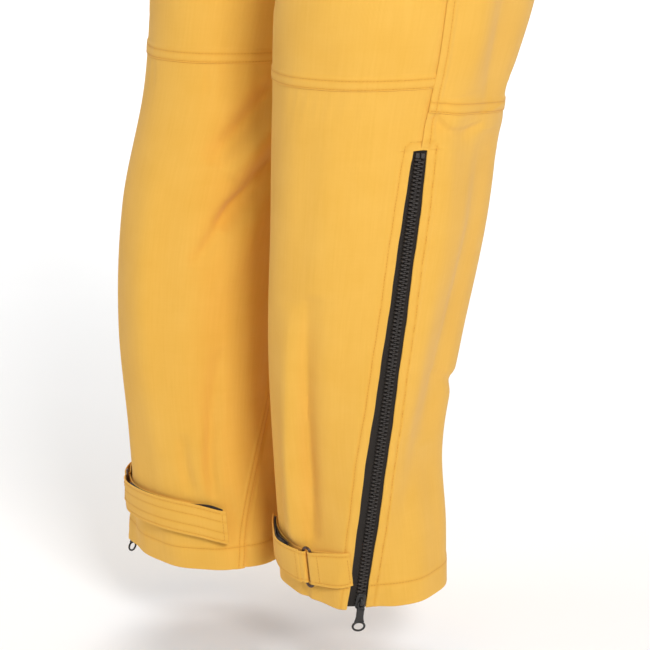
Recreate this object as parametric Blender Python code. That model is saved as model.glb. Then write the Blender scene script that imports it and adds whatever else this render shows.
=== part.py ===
"""Over-trousers for wildland fire crews: one layer of yellow cloth, leg zips and ankle straps.

Metres, +Z up. The wearer faces -Y and the wearer's left is +X. The origin is the centre of the
waist opening, in the plane of the waistband's top edge. Heights in this file are heights above
the hem, as a garment is measured, and WAIST_HEIGHT is taken off when a point is placed.

Each leg is a stack of ellipses. A point on the cloth is a height, a turn round the ellipse
(0 inside, 90 front, 180 outside, 270 back) and a lift off the cloth. Above the crotch the two
stacks run into each other and are cut off at the middle plane.
"""
import math

import bpy
import bmesh
import numpy as np

# ---------------------------------------------------------------- driving dimensions (metres)
WAIST_HEIGHT = 1.060
BAND_BOTTOM = 1.020
KNEE_SEAM = 0.540
BACK_KNEE_SEAM = 0.516
BACK_KNEE_DIP = 0.022
CROTCH = 0.79
CLOTH = 0.0025
GAP = 0.0003
CLEAR = 0.001

ZIP_HEAD = 0.465
ZIP_SLOT = 0.020
ZIP_HEAD_TURN = math.radians(165)
ZIP_FOOT_TURN = math.radians(136)
ZIP_FLAT_ANGLE = 0.35
FLY_FOOT = 0.870
FLY_HEAD = 1.014
FLY_SLOT = 0.015
FLY_RECESS = 0.003
FLY_BULGE = 0.0072

STRAP_WIDTH = 0.036
STRAP_THICK = 0.0012
RING_WIRE = 0.0015
RING_HALF_HEIGHT = 0.0212
RING_CORNER = 0.003
RING_SPACING = 0.009

POCKET_TURN = math.radians(172)
POCKET_HALF_ANGLE = math.radians(34)
POCKET_FOOT = 0.655
POCKET_MOUTH = 0.815
POCKET_SWELL = 0.016
FLAP_FOOT = 0.795
FLAP_HEAD = 0.868
FLAP_MARGIN = math.radians(2)

SIDES = {"left": 1, "right": -1}

# One row for each section, in millimetres: height, half width, half depth, how far the centre
# is from the middle plane, and how far it is behind the front-to-back datum, left then right.
SECTIONS = 0.001 * np.array([
    [0, 91, 85, 87, 2, -67],
    [60, 84, 90, 86, 1, -68],
    [140, 75, 94, 85, -4, -71],
    [250, 78, 109, 92, -1, -60],
    [380, 86, 122, 100, 10, -33],
    [500, 93, 127, 101, 21, 5],
    [600, 104, 141, 107, 35, 36],
    [700, 108, 143, 110, 48, 52],
    [780, 109, 144, 111, 57, 58],
    [840, 138, 148, 72, 58, 58],
    [900, 156, 147, 46, 53, 53],
    [970, 160, 138, 28, 40, 40],
    [1060, 160, 124, 4, 25, 25],
])
WAIST_BACK = SECTIONS[-1, 4]

# Turn of the inside leg seam and, above the zip, of the outside seam, in degrees.
INSEAM = np.array([[0, 0.05, 0.12, 0.17, 0.30, 0.54, 0.70, 0.79], [16, 10, -5, -15, -16, -10, -4, 0]])
OUTSEAM = np.array([[ZIP_HEAD, 0.54, 0.62, 0.79, 0.95, WAIST_HEIGHT], [165, 166, 164, 170, 180, 180]])

CANVAS = ("yellow canvas", (0.86, 0.52, 0.11), 0.85, 0.0)
TAPE = ("black tape", (0.03, 0.025, 0.02), 0.9, 0.0)
TEETH = ("black moulded teeth", (0.06, 0.05, 0.045), 0.45, 0.0)
PLASTIC = ("dark brown plastic", (0.08, 0.05, 0.035), 0.4, 0.0)
HOOK = ("black hook and loop", (0.02, 0.018, 0.016), 0.95, 0.0)
BRASS = ("blackened brass", (0.05, 0.04, 0.035), 0.4, 0.9)


# ---------------------------------------------------------------- curves and the cloth surface
def through(stations, values, height):
    """Cubic pieces through the values, with the slope at each station from its neighbours."""
    slopes = np.gradient(values, stations)
    i = np.clip(np.searchsorted(stations, height) - 1, 0, len(stations) - 2)
    step = stations[i + 1] - stations[i]
    t = (height - stations[i]) / step
    rise = (1 + 2 * t) * (1 - t) ** 2 * values[i] + t * t * (3 - 2 * t) * values[i + 1]
    return rise + t * (1 - t) * step * ((1 - t) * slopes[i] - t * slopes[i + 1])


def smooth(value, start, end):
    """0 before start, 1 after end, and an even S between."""
    t = np.clip((value - start) / (end - start), 0, 1)
    return t * t * (3 - 2 * t)


def unit(vector):
    return vector / np.linalg.norm(vector, axis=-1, keepdims=True)


def section(side, height):
    """Half width, half depth, centre out and centre back of one leg's ellipse."""
    back = 4 if side > 0 else 5
    columns = [through(SECTIONS[:, 0], SECTIONS[:, k], height) for k in (1, 2, 3, back)]
    return columns[0], columns[1], columns[2], columns[3] - WAIST_BACK


def on_ellipse(side, height, turn):
    """Point and outward normal on the plain ellipse, before the zip's strip is pressed flat."""
    wide, deep, out, back = section(side, height)
    x = side * (out - wide * np.cos(turn))
    y = back - deep * np.sin(turn)
    z = height - WAIST_HEIGHT + 0 * turn
    normal = np.stack([-side * np.cos(turn) / wide, -np.sin(turn) / deep, 0 * z], -1)
    return np.stack([x, y, z], -1), unit(normal)


def arc_rate(side, height, turn):
    """Metres of cloth for each radian of turn."""
    wide, deep, _, _ = section(side, height)
    return np.hypot(wide * np.sin(turn), deep * np.cos(turn))


class Track:
    """A zip's straight line: foot and head on the cloth, and the directions along, across and out."""

    def __init__(self, foot, head, out, side=1):
        self.foot = foot
        self.length = float(np.linalg.norm(head - foot))
        self.along = unit(head - foot)
        self.out = unit(out - (out @ self.along) * self.along)
        self.across = side * np.cross(self.along, self.out)

    def at(self, across, along, out):
        steps = np.stack(np.broadcast_arrays(across, along, out), -1)
        return self.foot + steps @ np.stack([self.across, self.along, self.out])


def leg_track(side):
    foot, _ = on_ellipse(side, 0.0, ZIP_FOOT_TURN)
    head, _ = on_ellipse(side, ZIP_HEAD, ZIP_HEAD_TURN)
    _, out = on_ellipse(side, ZIP_HEAD / 2, (ZIP_FOOT_TURN + ZIP_HEAD_TURN) / 2)
    return Track(foot, head, out, side)


LEG_TRACKS = {side: leg_track(side) for side in SIDES.values()}


def zip_turn(side, height, across):
    """Turn at which the cloth is a distance across from the zip's line, by Newton's steps."""
    height = np.minimum(np.asarray(height, float), ZIP_HEAD)
    track = LEG_TRACKS[side]
    wide, deep, _, _ = section(side, height)
    turn = np.full(height.shape, (ZIP_FOOT_TURN + ZIP_HEAD_TURN) / 2)
    for _ in range(5):
        point, _ = on_ellipse(side, height, turn)
        ahead = np.stack([side * wide * np.sin(turn), -deep * np.cos(turn), 0 * turn], -1)
        turn = turn + (across - (point - track.foot) @ track.across) / (ahead @ track.across)
    return turn


def outseam(side, height):
    """Turn of the outside seam: along the zip's straight line, then by the list above it."""
    height = np.asarray(height, float)
    above = np.radians(through(OUTSEAM[0], OUTSEAM[1], np.maximum(height, ZIP_HEAD)))
    return np.where(height < ZIP_HEAD, zip_turn(side, height, 0.0), above)


def on_leg(side, height, turn, lift=0.0):
    """Point on the cloth, lifted off it, with the strip beside the zip pressed flat."""
    height, turn, lift = np.broadcast_arrays(np.asarray(height, float), turn, lift)
    point, normal = on_ellipse(side, height, turn)
    track = LEG_TRACKS[side]
    near = np.exp(-((turn - outseam(side, height)) / ZIP_FLAT_ANGLE) ** 4)
    near = (near * (1 - smooth(height, 0.48, KNEE_SEAM)))[..., None]
    proud = ((point - track.foot) @ track.out)[..., None]
    normal = unit((1 - near) * normal + near * track.out)
    return point - near * proud * track.out + lift[..., None] * normal


def middle_turn(side, height, off_middle):
    """Turn at which the front of the section is off_middle from the middle plane."""
    wide, _, out, _ = section(side, height)
    return np.arccos(np.clip((out - off_middle) / wide, -1, 1))


def at_x(x, height, lift, front=True):
    """Point on the front or back of the hips at a distance x from the middle plane."""
    points = []
    for side in (1, -1):
        turn = middle_turn(side, height, np.abs(x))
        points.append(on_leg(side, height, turn if front else 2 * math.pi - turn, lift))
    return np.where((x >= 0)[..., None], points[0], points[1])


# ---------------------------------------------------------------- making objects
def paint(finish):
    name, colour, roughness, metallic = finish
    material = bpy.data.materials.get(name) or bpy.data.materials.new(name)
    material.use_nodes = True
    shader = material.node_tree.nodes["Principled BSDF"]
    shader.inputs["Base Color"].default_value = (*colour, 1)
    shader.inputs["Roughness"].default_value = roughness
    shader.inputs["Metallic"].default_value = metallic
    return material


def make(name, points, faces, finish, pivot=(0, 0, 0)):
    """A closed piece with its faces pointing out and its origin at the pivot."""
    mesh = bpy.data.meshes.new(name)
    mesh.from_pydata((np.asarray(points) - pivot).tolist(), [], faces)
    body = bmesh.new()
    body.from_mesh(mesh)
    bmesh.ops.recalc_face_normals(body, faces=body.faces)
    body.to_mesh(mesh)
    body.free()
    mesh.shade_smooth()
    mesh.set_sharp_from_angle(angle=math.radians(35))
    mesh.materials.append(paint(finish))
    piece = bpy.data.objects.new(name, mesh)
    piece.location = pivot
    bpy.context.scene.collection.objects.link(piece)
    return piece


def shell(name, outer, inner, finish, pivot=(0, 0, 0)):
    """A sheet with thickness: two grids of points and the rim between them."""
    rows, columns = outer.shape[:2]
    front = np.arange(rows * columns).reshape(rows, columns)
    back = front + rows * columns
    faces = []
    for grid in (front, back):
        quads = np.stack([grid[:-1, :-1], grid[:-1, 1:], grid[1:, 1:], grid[1:, :-1]], -1)
        faces += quads.reshape(-1, 4).tolist()
    for edge in (np.s_[0], np.s_[-1], np.s_[:, 0], np.s_[:, -1]):
        a, b = front[edge], back[edge]
        faces += np.stack([a[:-1], a[1:], b[1:], b[:-1]], -1).tolist()
    points = np.concatenate([outer.reshape(-1, 3), inner.reshape(-1, 3)])
    return make(name, points, faces, finish, pivot)


def blocks(name, track, across, along, out, filled, finish, pivot=(0, 0, 0)):
    """A piece made of the cells of a box grid for which filled says yes, as one closed skin."""
    cuts = (across, along, out)
    cells = {(i, j, k) for i in range(len(across) - 1) for j in range(len(along) - 1)
             for k in range(len(out) - 1) if filled(i, j, k)}
    corners, faces = {}, []
    for cell in sorted(cells):
        for axis in range(3):
            for step in (0, 1):
                beside = list(cell)
                beside[axis] += 2 * step - 1
                if tuple(beside) in cells:
                    continue
                face = []
                for one, two in ((0, 0), (0, 1), (1, 1), (1, 0)):
                    corner = list(cell)
                    corner[axis] += step
                    corner[(axis + 1) % 3] += one
                    corner[(axis + 2) % 3] += two
                    face.append(corners.setdefault(tuple(corner), len(corners)))
                faces.append(face)
    places = np.array([[cuts[axis][corner[axis]] for axis in range(3)] for corner in corners])
    return make(name, track.at(*places.T), faces, finish, pivot)


def box(name, track, across, along, out, finish, pivot=(0, 0, 0)):
    return blocks(name, track, across, along, out, lambda i, j, k: True, finish, pivot)


def ring(name, centres, inward, radius, sides, finish, pivot=(0, 0, 0)):
    """A round bar along a closed loop of points; inward is the loop's own plane normal."""
    ahead = unit(np.roll(centres, -1, 0) - np.roll(centres, 1, 0))
    beside = np.cross(ahead, inward)
    angle = np.arange(sides) * 2 * math.pi / sides
    spokes = np.cos(angle)[None, :, None] * beside[:, None] + np.sin(angle)[None, :, None] * inward
    points = (centres[:, None] + radius * spokes).reshape(-1, 3)
    grid = np.arange(len(points)).reshape(len(centres), sides)
    on, up = np.roll(grid, -1, 0), np.roll(grid, -1, 1)
    faces = np.stack([grid, on, np.roll(on, -1, 1), up], -1).reshape(-1, 4).tolist()
    return make(name, points, faces, finish, pivot)


def disc(name, track, along, out, radius, finish, sides=20):
    """A round button or stud standing on the track's plane."""
    angle = np.arange(sides) * 2 * math.pi / sides
    rims = [track.at(radius * np.cos(angle), along + radius * np.sin(angle), level) for level in out]
    faces = [list(range(sides)), list(range(sides, 2 * sides))]
    faces += [[i, (i + 1) % sides, sides + (i + 1) % sides, sides + i] for i in range(sides)]
    return make(name, np.concatenate(rims), faces, finish)


# ---------------------------------------------------------------- cloth panels
def sheet(name, side, rows, columns, turns, lift, thick, foot=None, head=None, pivot=(0, 0, 0)):
    """A patch of cloth: rows of heights, and turns(height) giving its two edges."""
    rows = np.asarray(rows, float)[:, None]
    u = np.linspace(0, 1, columns)[None, :]
    share = (rows - rows[0]) / (rows[-1] - rows[0])
    low = rows[0] if foot is None else foot(u)
    high = rows[-1] if head is None else head(u)
    height = low + share * (high - low)
    start, end = turns(height)
    turn = start + u * (end - start)
    rise = lift(u, height) if callable(lift) else lift
    outer = on_leg(side, height, turn, rise)
    inner = on_leg(side, height, turn, rise - thick)
    return shell(name, outer, inner, CANVAS, pivot)


def seam_angle(side, height, turn, width=2 * GAP):
    return width / 2 / arc_rate(side, height, turn)


def beside_outseam(side, height, way):
    """A panel's edge at the outside seam: wide of the zip, and a hairline from the seam above it."""
    turn = outseam(side, height)
    width = ZIP_SLOT + (2 * GAP - ZIP_SLOT) * smooth(height, ZIP_HEAD, ZIP_HEAD + 0.008)
    above = turn + way * seam_angle(side, height, turn, width)
    return np.where(height < ZIP_HEAD, zip_turn(side, height, way * ZIP_SLOT / 2), above)


def inside_edge(side, height):
    """Front panel's edge: the inseam, then the middle plane, with the fly's slot above."""
    inseam = np.radians(through(INSEAM[0], INSEAM[1], np.minimum(height, CROTCH)))
    off_middle = GAP + (FLY_SLOT / 2 - GAP) * smooth(height, FLY_FOOT - 0.008, FLY_FOOT)
    leg = inseam + seam_angle(side, height, inseam)
    return np.where(height < CROTCH, leg, np.maximum(leg, middle_turn(side, height, off_middle)))


def back_inside_edge(side, height):
    inseam = np.radians(through(INSEAM[0], INSEAM[1], np.minimum(height, CROTCH)))
    leg = 2 * math.pi + inseam - seam_angle(side, height, inseam)
    middle = 2 * math.pi - middle_turn(side, height, GAP)
    return np.where(height < CROTCH, leg, np.minimum(leg, middle))


def front_turns(side):
    return lambda height: (inside_edge(side, height), beside_outseam(side, height, -1))


def back_turns(side):
    return lambda height: (beside_outseam(side, height, 1), back_inside_edge(side, height))


def back_knee(shift):
    return lambda u: BACK_KNEE_SEAM + shift - BACK_KNEE_DIP * np.sin(math.pi * u)


def leg_panels(word, side):
    low = [0, 0.045, 0.09, 0.14, 0.20, 0.26, 0.32, 0.38, 0.43, ZIP_HEAD - 0.001, ZIP_HEAD + 0.008, 0.495]
    high = [0.60, 0.66, 0.72, 0.775, 0.80, 0.82, FLY_FOOT - 0.008, FLY_FOOT, 0.93, 0.98, BAND_BOTTOM - GAP]
    shared = [BACK_KNEE_SEAM, (BACK_KNEE_SEAM + KNEE_SEAM) / 2]
    sheet(f"{word}_shin_front", side, low + shared + [KNEE_SEAM - GAP], 11, front_turns(side), 0, CLOTH)
    sheet(f"{word}_shin_back", side, low + [BACK_KNEE_SEAM], 12, back_turns(side), 0, CLOTH,
          head=back_knee(-GAP))
    sheet(f"{word}_thigh_front", side, [KNEE_SEAM + GAP] + high, 11, front_turns(side), 0, CLOTH)
    sheet(f"{word}_thigh_back", side, shared + [KNEE_SEAM] + high, 12, back_turns(side), 0, CLOTH,
          foot=back_knee(GAP))


# ---------------------------------------------------------------- zips
# The slider's box grid, in metres: across the zip, along it from the slider's lower end, and out.
SLIDER_ACROSS = 0.001 * np.array([-5.5, -1.5, -0.5, 0.5, 1.5, 5.5])
SLIDER_ALONG = 0.001 * np.array([0, 4.5, 6, 11, 12.5, 17])
SLIDER_OUT = 0.001 * np.array([-4.0, -2.5, 2.1, 3.7, 6.7, 8.0])
SLIDER_LENGTH = SLIDER_ALONG[-1]
BACK_PLATE, POST, FRONT_PLATE, BRIDGE_FEET, BRIDGE = range(5)
PULL_AXIS_ALONG = 0.0085
PULL_AXIS_OUT = 0.0052
TEETH_LOW, TEETH_HIGH = -0.0009, 0.0018
TEETH_START, TEETH_END = 0.0011, 0.0048
STOP_LENGTH = 0.005


def in_slider(i, j, k):
    """Whether a cell of the slider's grid is metal, by its level out of the zip."""
    middle = 1 <= i <= 3
    return {
        BACK_PLATE: True,
        POST: i == 2 and 2 <= j <= 3,
        FRONT_PLATE: True,
        BRIDGE_FEET: middle and j in (1, 3),
        BRIDGE: middle and 1 <= j <= 3,
    }[k]


def zip_set(word, track, slider_along, stop_along, span, half_slot):
    """Two tapes, two rows of teeth, a stop, a slider and its pull on one straight track."""
    start, end = span
    for name, way in (("front", -1), ("back", 1)):
        tape = sorted((way * TEETH_START, way * (half_slot - 2 * GAP)))
        teeth = sorted((way * TEETH_START, way * TEETH_END))
        box(f"{word}_zip_tape_{name}", track, tape, [start, end], [-0.0022, -0.0012], TAPE)
        box(f"{word}_zip_teeth_{name}", track, teeth, [start, end], [TEETH_LOW, TEETH_HIGH], TEETH)
    stop = [stop_along, stop_along + STOP_LENGTH]
    box(f"{word}_zip_stop", track, [-TEETH_END, TEETH_END], stop, [TEETH_LOW, TEETH_HIGH], TEETH)
    seat = track.at(0.0, slider_along + SLIDER_LENGTH / 2, 0.0)
    blocks(f"{word}_zip_slider", track, SLIDER_ACROSS, slider_along + SLIDER_ALONG, SLIDER_OUT,
           in_slider, PLASTIC, seat)
    pull(word, track, track.at(0.0, slider_along + PULL_AXIS_ALONG, PULL_AXIS_OUT))


# The pull's box grid, in metres: along it from its axis, downwards being negative, and across it.
PULL_ALONG = 0.001 * np.array([-34, -32, -30, -26, -24, -22, -8, -5.8, -0.9, 0.9])
PULL_ACROSS = 0.001 * np.array([-6, -4.6, -3.4, -1.9, 1.9, 3.4, 4.6, 6])
PULL_THICK = 0.0012
# For each row of that grid, from the foot up, the columns off the middle that are metal: an oval
# ring, its shoulder, a neck, and the eye round the slider's bridge.
PULL_ROWS = [(0, 1), (1, 2), (2, 3), (1, 2), (0, 1, 2), (0, 1), (0, 1), (1,), (0, 1)]


def pull(word, track, axis):
    """A flat pull that hangs straight down: an eye round the bridge, a neck and an oval ring."""
    hang = Track(axis, axis + unit(np.array([0, 0, 1]) - track.across[2] * track.across), track.out)
    hang.across = track.across
    hang.out = unit(track.out - (track.out @ hang.along) * hang.along)
    thick = np.array([-PULL_THICK / 2, PULL_THICK / 2])
    blocks(f"{word}_zip_pull", hang, PULL_ACROSS, PULL_ALONG, thick,
           lambda i, j, k: abs(i - 3) in PULL_ROWS[j], PLASTIC, axis)


# ---------------------------------------------------------------- ankle straps
# Each strap's band, as the height of its middle at a turn in degrees, the turn of its ring and
# the turns at which the sewn part and the loose end stop.
STRAPS = {
    "left": {"turns": [0, 47, 75, 101, 140], "middles": [0.050, 0.046, 0.042, 0.038, 0.047],
             "ring": 104.5, "sewn_end": 31, "loose_end": 47},
    "right": {"turns": [0, 25, 47, 75, 108, 140], "middles": [0.045, 0.050, 0.0585, 0.063, 0.063, 0.066],
              "ring": 121, "sewn_end": 18, "loose_end": 26},
}
LOW_LAYER = 0.0016
BAR_LIFT = 0.0045
TOP_LAYER = 0.0072
LOOSE_LAYER = 0.0056
HOOK_LAYER = 0.0042
LOOP_LAYER = 0.0030
PATCH_THICK = 0.0008


def band(name, side, strap, turns, lifts, width, thick, finish, pivot=(0, 0, 0)):
    """A flat band along a path of turns and lifts, folding back where the path does."""
    turns, lifts = np.radians(turns), np.asarray(lifts)
    middle = through(np.radians(strap["turns"]), np.array(strap["middles"]), turns)
    rate = arc_rate(side, middle, turns)
    ahead = np.stack([np.gradient(turns) * rate, np.gradient(lifts)], -1)
    turned = unit(ahead)[:, ::-1] * [1, -1]
    height = middle + np.array([-width / 2, width / 2])[:, None]
    faces = [on_leg(side, height, turns - sign * thick / 2 * turned[:, 0] / rate,
                    lifts - sign * thick / 2 * turned[:, 1]) for sign in (1, -1)]
    return shell(name, faces[0], faces[1], finish, pivot)


def around_bar(bar_turn, rate, way):
    """Half a turn of a band's path round a ring's bar, from the low layer to the top one."""
    swing = np.radians(np.arange(-90, 91, 22.5))
    radius = (TOP_LAYER - LOW_LAYER) / 2
    lifts = BAR_LIFT - 0.0001 + radius * np.sin(swing)
    return bar_turn + way * np.degrees(radius * np.cos(swing) / rate), lifts


def ankle_strap(word, side):
    """A tab, the ring in its fold, the strap through the ring, and its loose end with hooks."""
    strap = STRAPS[word]
    rate = float(arc_rate(side, 0.045, math.radians(strap["ring"])))
    half = math.degrees(RING_SPACING / 2 / rate)
    middle = float(through(np.array(strap["turns"]), np.array(strap["middles"]), strap["ring"]))

    edge = math.degrees(float(beside_outseam(side, middle, -1))) - 0.4
    outer_bar = strap["ring"] + half
    turn, lift = around_bar(outer_bar, rate, -1)
    ramp = np.linspace(outer_bar, edge, 6)[1:]
    turns = np.concatenate([ramp[::-1], turn, ramp])
    lifts = np.concatenate([np.full(5, LOW_LAYER), lift, np.linspace(TOP_LAYER, 0.0034, 5)])
    band(f"{word}_ring_tab", side, strap, turns, lifts, STRAP_WIDTH - 0.001, STRAP_THICK, CANVAS)

    inner_bar = strap["ring"] - half
    stub_end = inner_bar - 4.5
    turn, lift = around_bar(inner_bar, rate, 1)
    run = np.arange(inner_bar, strap["sewn_end"], -7.5)[1:]
    turns = np.concatenate([run[::-1], turn, [inner_bar - 2, stub_end]])
    lifts = np.concatenate([np.full(len(run), LOW_LAYER), lift, [TOP_LAYER, TOP_LAYER]])
    band(f"{word}_strap_sewn", side, strap, turns, lifts, STRAP_WIDTH - 0.002, STRAP_THICK, CANVAS)

    hinge_turn = stub_end - 0.4
    height = float(through(np.array(strap["turns"]), np.array(strap["middles"]), hinge_turn))
    pivot = on_leg(side, height, math.radians(hinge_turn), TOP_LAYER + STRAP_THICK / 2)
    turns = np.linspace(hinge_turn, strap["loose_end"], 12)
    lifts = LOOSE_LAYER + (TOP_LAYER - LOOSE_LAYER) * (1 - smooth(hinge_turn - turns, 0, 12))
    band(f"{word}_strap_end", side, strap, turns, lifts, STRAP_WIDTH, STRAP_THICK, CANVAS, pivot)

    first = strap["loose_end"] + 3
    turns = np.arange(hinge_turn - 14, first, -7)
    patches = (("hook", HOOK_LAYER, 0.032, pivot), ("loop", LOOP_LAYER, 0.030, (0, 0, 0)))
    for kind, lift, width, origin in patches:
        lifts = np.full(turns.shape, lift)
        band(f"{word}_{kind}_patch", side, strap, turns, lifts, width, PATCH_THICK, HOOK, origin)

    swing = np.radians(np.arange(0, 91, 30))
    reach = RING_SPACING / 2 - RING_CORNER, RING_HALF_HEIGHT - RING_CORNER
    bend = np.stack([reach[0] + RING_CORNER * np.cos(swing), reach[1] + RING_CORNER * np.sin(swing)], -1)
    loop = np.concatenate([bend, bend[::-1] * [-1, 1], -bend, bend[::-1] * [1, -1]])
    turns = math.radians(strap["ring"]) + loop[:, 0] / rate
    middles = through(np.radians(strap["turns"]), np.array(strap["middles"]), turns)
    centres = on_leg(side, middles + loop[:, 1], turns, BAR_LIFT)
    _, face = on_ellipse(side, middle, math.radians(strap["ring"]))
    ring(f"{word}_ankle_ring", centres, face, RING_WIRE, 8, PLASTIC)


# ---------------------------------------------------------------- cargo pockets
def swell(u):
    """0 at both edges of a pocket and 1 in the middle."""
    return np.sqrt(np.clip(np.sin(math.pi * u), 0, 1))


def pocket_turns(margin=0.0):
    half = POCKET_HALF_ANGLE + margin
    return lambda height: (POCKET_TURN - half + 0 * height, POCKET_TURN + half + 0 * height)


def cargo_pocket(word, side):
    """A bag that stands off the thigh, open at its mouth, under a flap that lifts."""
    def bag_lift(u, height):
        return CLEAR + CLOTH + POCKET_SWELL * swell(u) * smooth(height, POCKET_FOOT, POCKET_FOOT + 0.05)

    def flap_lift(u, height):
        over_bag = 0.0035 + (POCKET_SWELL + 0.002) * swell(u)
        return CLEAR + CLOTH + smooth(FLAP_HEAD - height, 0, 0.028) * over_bag

    bag_rows = [POCKET_FOOT, POCKET_FOOT + 0.02, POCKET_FOOT + 0.05, 0.745, 0.78, POCKET_MOUTH]
    sheet(f"{word}_pocket_bag", side, bag_rows, 11, pocket_turns(), bag_lift, CLOTH)
    hinge = on_leg(side, FLAP_HEAD, POCKET_TURN, CLEAR + CLOTH)
    flap_rows = [FLAP_FOOT, 0.815, 0.84, 0.854, FLAP_HEAD]
    sheet(f"{word}_pocket_flap", side, flap_rows, 11, pocket_turns(FLAP_MARGIN), flap_lift, CLOTH,
          pivot=hinge)


# ---------------------------------------------------------------- waistband, loops and fly
BAND_LIFT = 0.001
BAND_THICK = 0.0035
SIDE_TURN = math.radians(180)
TAB_HINGE_X = 0.045
TAB_TIP_X = -0.022
SNAP_X = -0.011


def waistband():
    """Two front lengths and one elastic length round the back."""
    rows = [BAND_BOTTOM + GAP, 1.04, WAIST_HEIGHT]
    for word, side in SIDES.items():
        edges = (lambda height, side=side: (
            middle_turn(side, height, 0.0006), SIDE_TURN - seam_angle(side, height, SIDE_TURN) + 0 * height))
        sheet(f"waistband_{word}", side, rows, 9, edges, BAND_LIFT, BAND_THICK)
    height = np.array(rows)[:, None]
    fan = np.linspace(-1, 1, 17)[None, :] + 0 * height
    side_edge = SIDE_TURN + seam_angle(1, height, SIDE_TURN)
    middle = 2 * math.pi - middle_turn(1, height, 0.0)
    turn = side_edge + (1 - np.abs(fan)) * (middle - side_edge)
    grids = []
    for lift in (BAND_LIFT, BAND_LIFT - BAND_THICK):
        halves = [on_leg(side, height, turn, lift) for side in (1, -1)]
        grids.append(np.where((fan >= 0)[..., None], halves[0], halves[1]))
    shell("waistband_back", grids[0], grids[1], CANVAS)


def plane_at(point, outward):
    """A track that stands on a point, upright, facing outward."""
    upright = unit(np.array([0, 0, 1.0]) - outward[2] * outward)
    return Track(point, point + upright, outward)


LOOP_TURNS = {"front": 125, "side": 180, "rear": 228}


def belt_loop(name, point, outward):
    """A bridge of doubled cloth with room for a belt behind it."""
    track = plane_at(point, outward)
    cuts = [0.001 * np.array(row) for row in ([-6, 6], [-18, -15, 15, 18], [1.0, 7.0, 8.5])]
    blocks(name, track, *cuts, lambda i, j, k: k == 1 or j != 1, CANVAS)


def lean(point_above, point_below, normal):
    """Outward direction square to the cloth's own slope."""
    slope = unit(point_above - point_below)
    return unit(normal - (normal @ slope) * slope)


def belt_loops():
    for word, side in SIDES.items():
        for place, degrees in LOOP_TURNS.items():
            turn = math.radians(degrees)
            low, middle, high = (on_leg(side, h, turn, BAND_LIFT) for h in (1.022, 1.04, 1.058))
            _, normal = on_ellipse(side, 1.04, turn)
            belt_loop(f"belt_loop_{word}_{place}", middle, lean(high, low, normal))
    low, middle, high = (at_x(np.array(0.0), h, BAND_LIFT, False) * [0, 1, 1] for h in (1.022, 1.04, 1.058))
    belt_loop("belt_loop_back", middle, lean(high, low, np.array([0, 1.0, 0])))


def across_front(name, x_hinge, x_tip, rows, lift, thick, columns):
    """A flap across the middle of the front, hinged at the foremost point of its sewn edge."""
    x = np.linspace(x_hinge, x_tip, columns)[None, :] + 0 * np.array(rows)[:, None]
    height = np.array(rows)[:, None] + 0 * x
    rise = lift(x)
    outer = at_x(x, height, rise)
    pivot = outer[np.argmin(outer[:, 0, 1]), 0]
    return shell(name, outer, at_x(x, height, rise - thick), CANVAS, pivot)


def waist_closure():
    """A tab sewn to the left of the waistband that snaps to the right of it."""
    rows = [BAND_BOTTOM + 0.002, 1.04, WAIST_HEIGHT - 0.002]
    lift = (lambda x: BAND_LIFT + 0.0035 + 0.0022 * (1 - smooth(x, 0.015, TAB_HINGE_X)))
    across_front("waist_tab", TAB_HINGE_X, TAB_TIP_X, rows, lift, 0.0025, 11)
    low, middle, high = (at_x(np.array(SNAP_X), h, BAND_LIFT) for h in (1.03, 1.04, 1.05))
    _, normal = on_ellipse(-1, 1.04, float(middle_turn(-1, 1.04, abs(SNAP_X))))
    track = plane_at(middle, lean(high, low, normal))
    disc("waist_snap_stud", track, 0.0, (0.0006, 0.0024), 0.0045, BRASS)
    disc("waist_snap_cap", track, 0.0, (0.0063, 0.0083), 0.0075, BRASS)


def fly_track():
    foot = at_x(np.array(0.0), FLY_FOOT, -FLY_RECESS)
    head = at_x(np.array(0.0), FLY_HEAD, -FLY_RECESS)
    return Track(foot, head, np.array([0, -1.0, 0]))


def fly():
    """The fly's own zip, closed at the top, behind a flap sewn along the wearer's left."""
    track = fly_track()
    length = track.length
    zip_set("fly", track, length - 0.018, 0.001, (0.007, length - 0.0005), FLY_SLOT / 2)
    hinge_x, tip_x = 0.034, -0.013
    rows = [0.866, 0.90, 0.94, 0.98, 1.014]
    lift = (lambda x: CLEAR + CLOTH + FLY_BULGE * (1 - smooth(x, 0.010, hinge_x)))
    across_front("fly_flap", hinge_x, tip_x, rows, lift, CLOTH, 9)


# ---------------------------------------------------------------- the whole garment
def build():
    for leftover in list(bpy.data.objects):
        bpy.data.objects.remove(leftover, do_unlink=True)
    for word, side in SIDES.items():
        track = LEG_TRACKS[side]
        leg_panels(word, side)
        zip_set(f"{word}_leg", track, 0.0, track.length - 0.007, (0.001, track.length - 0.008), ZIP_SLOT / 2)
        ankle_strap(word, side)
        cargo_pocket(word, side)
    waistband()
    belt_loops()
    waist_closure()
    fly()


build()
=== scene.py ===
# %% [markdown]
# # Over-trousers for wildland fire crews
#
# The trousers are one layer of yellow canvas with a long zip in each outside leg seam and an ankle
# strap that goes through a ring and closes on hooks. The frame gives the size and place of every
# node. This lesson makes the cloth, thread, zips and straps that are seen, each as a surface
# worked out from a formula.

# %% Load the frame
import math

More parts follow.
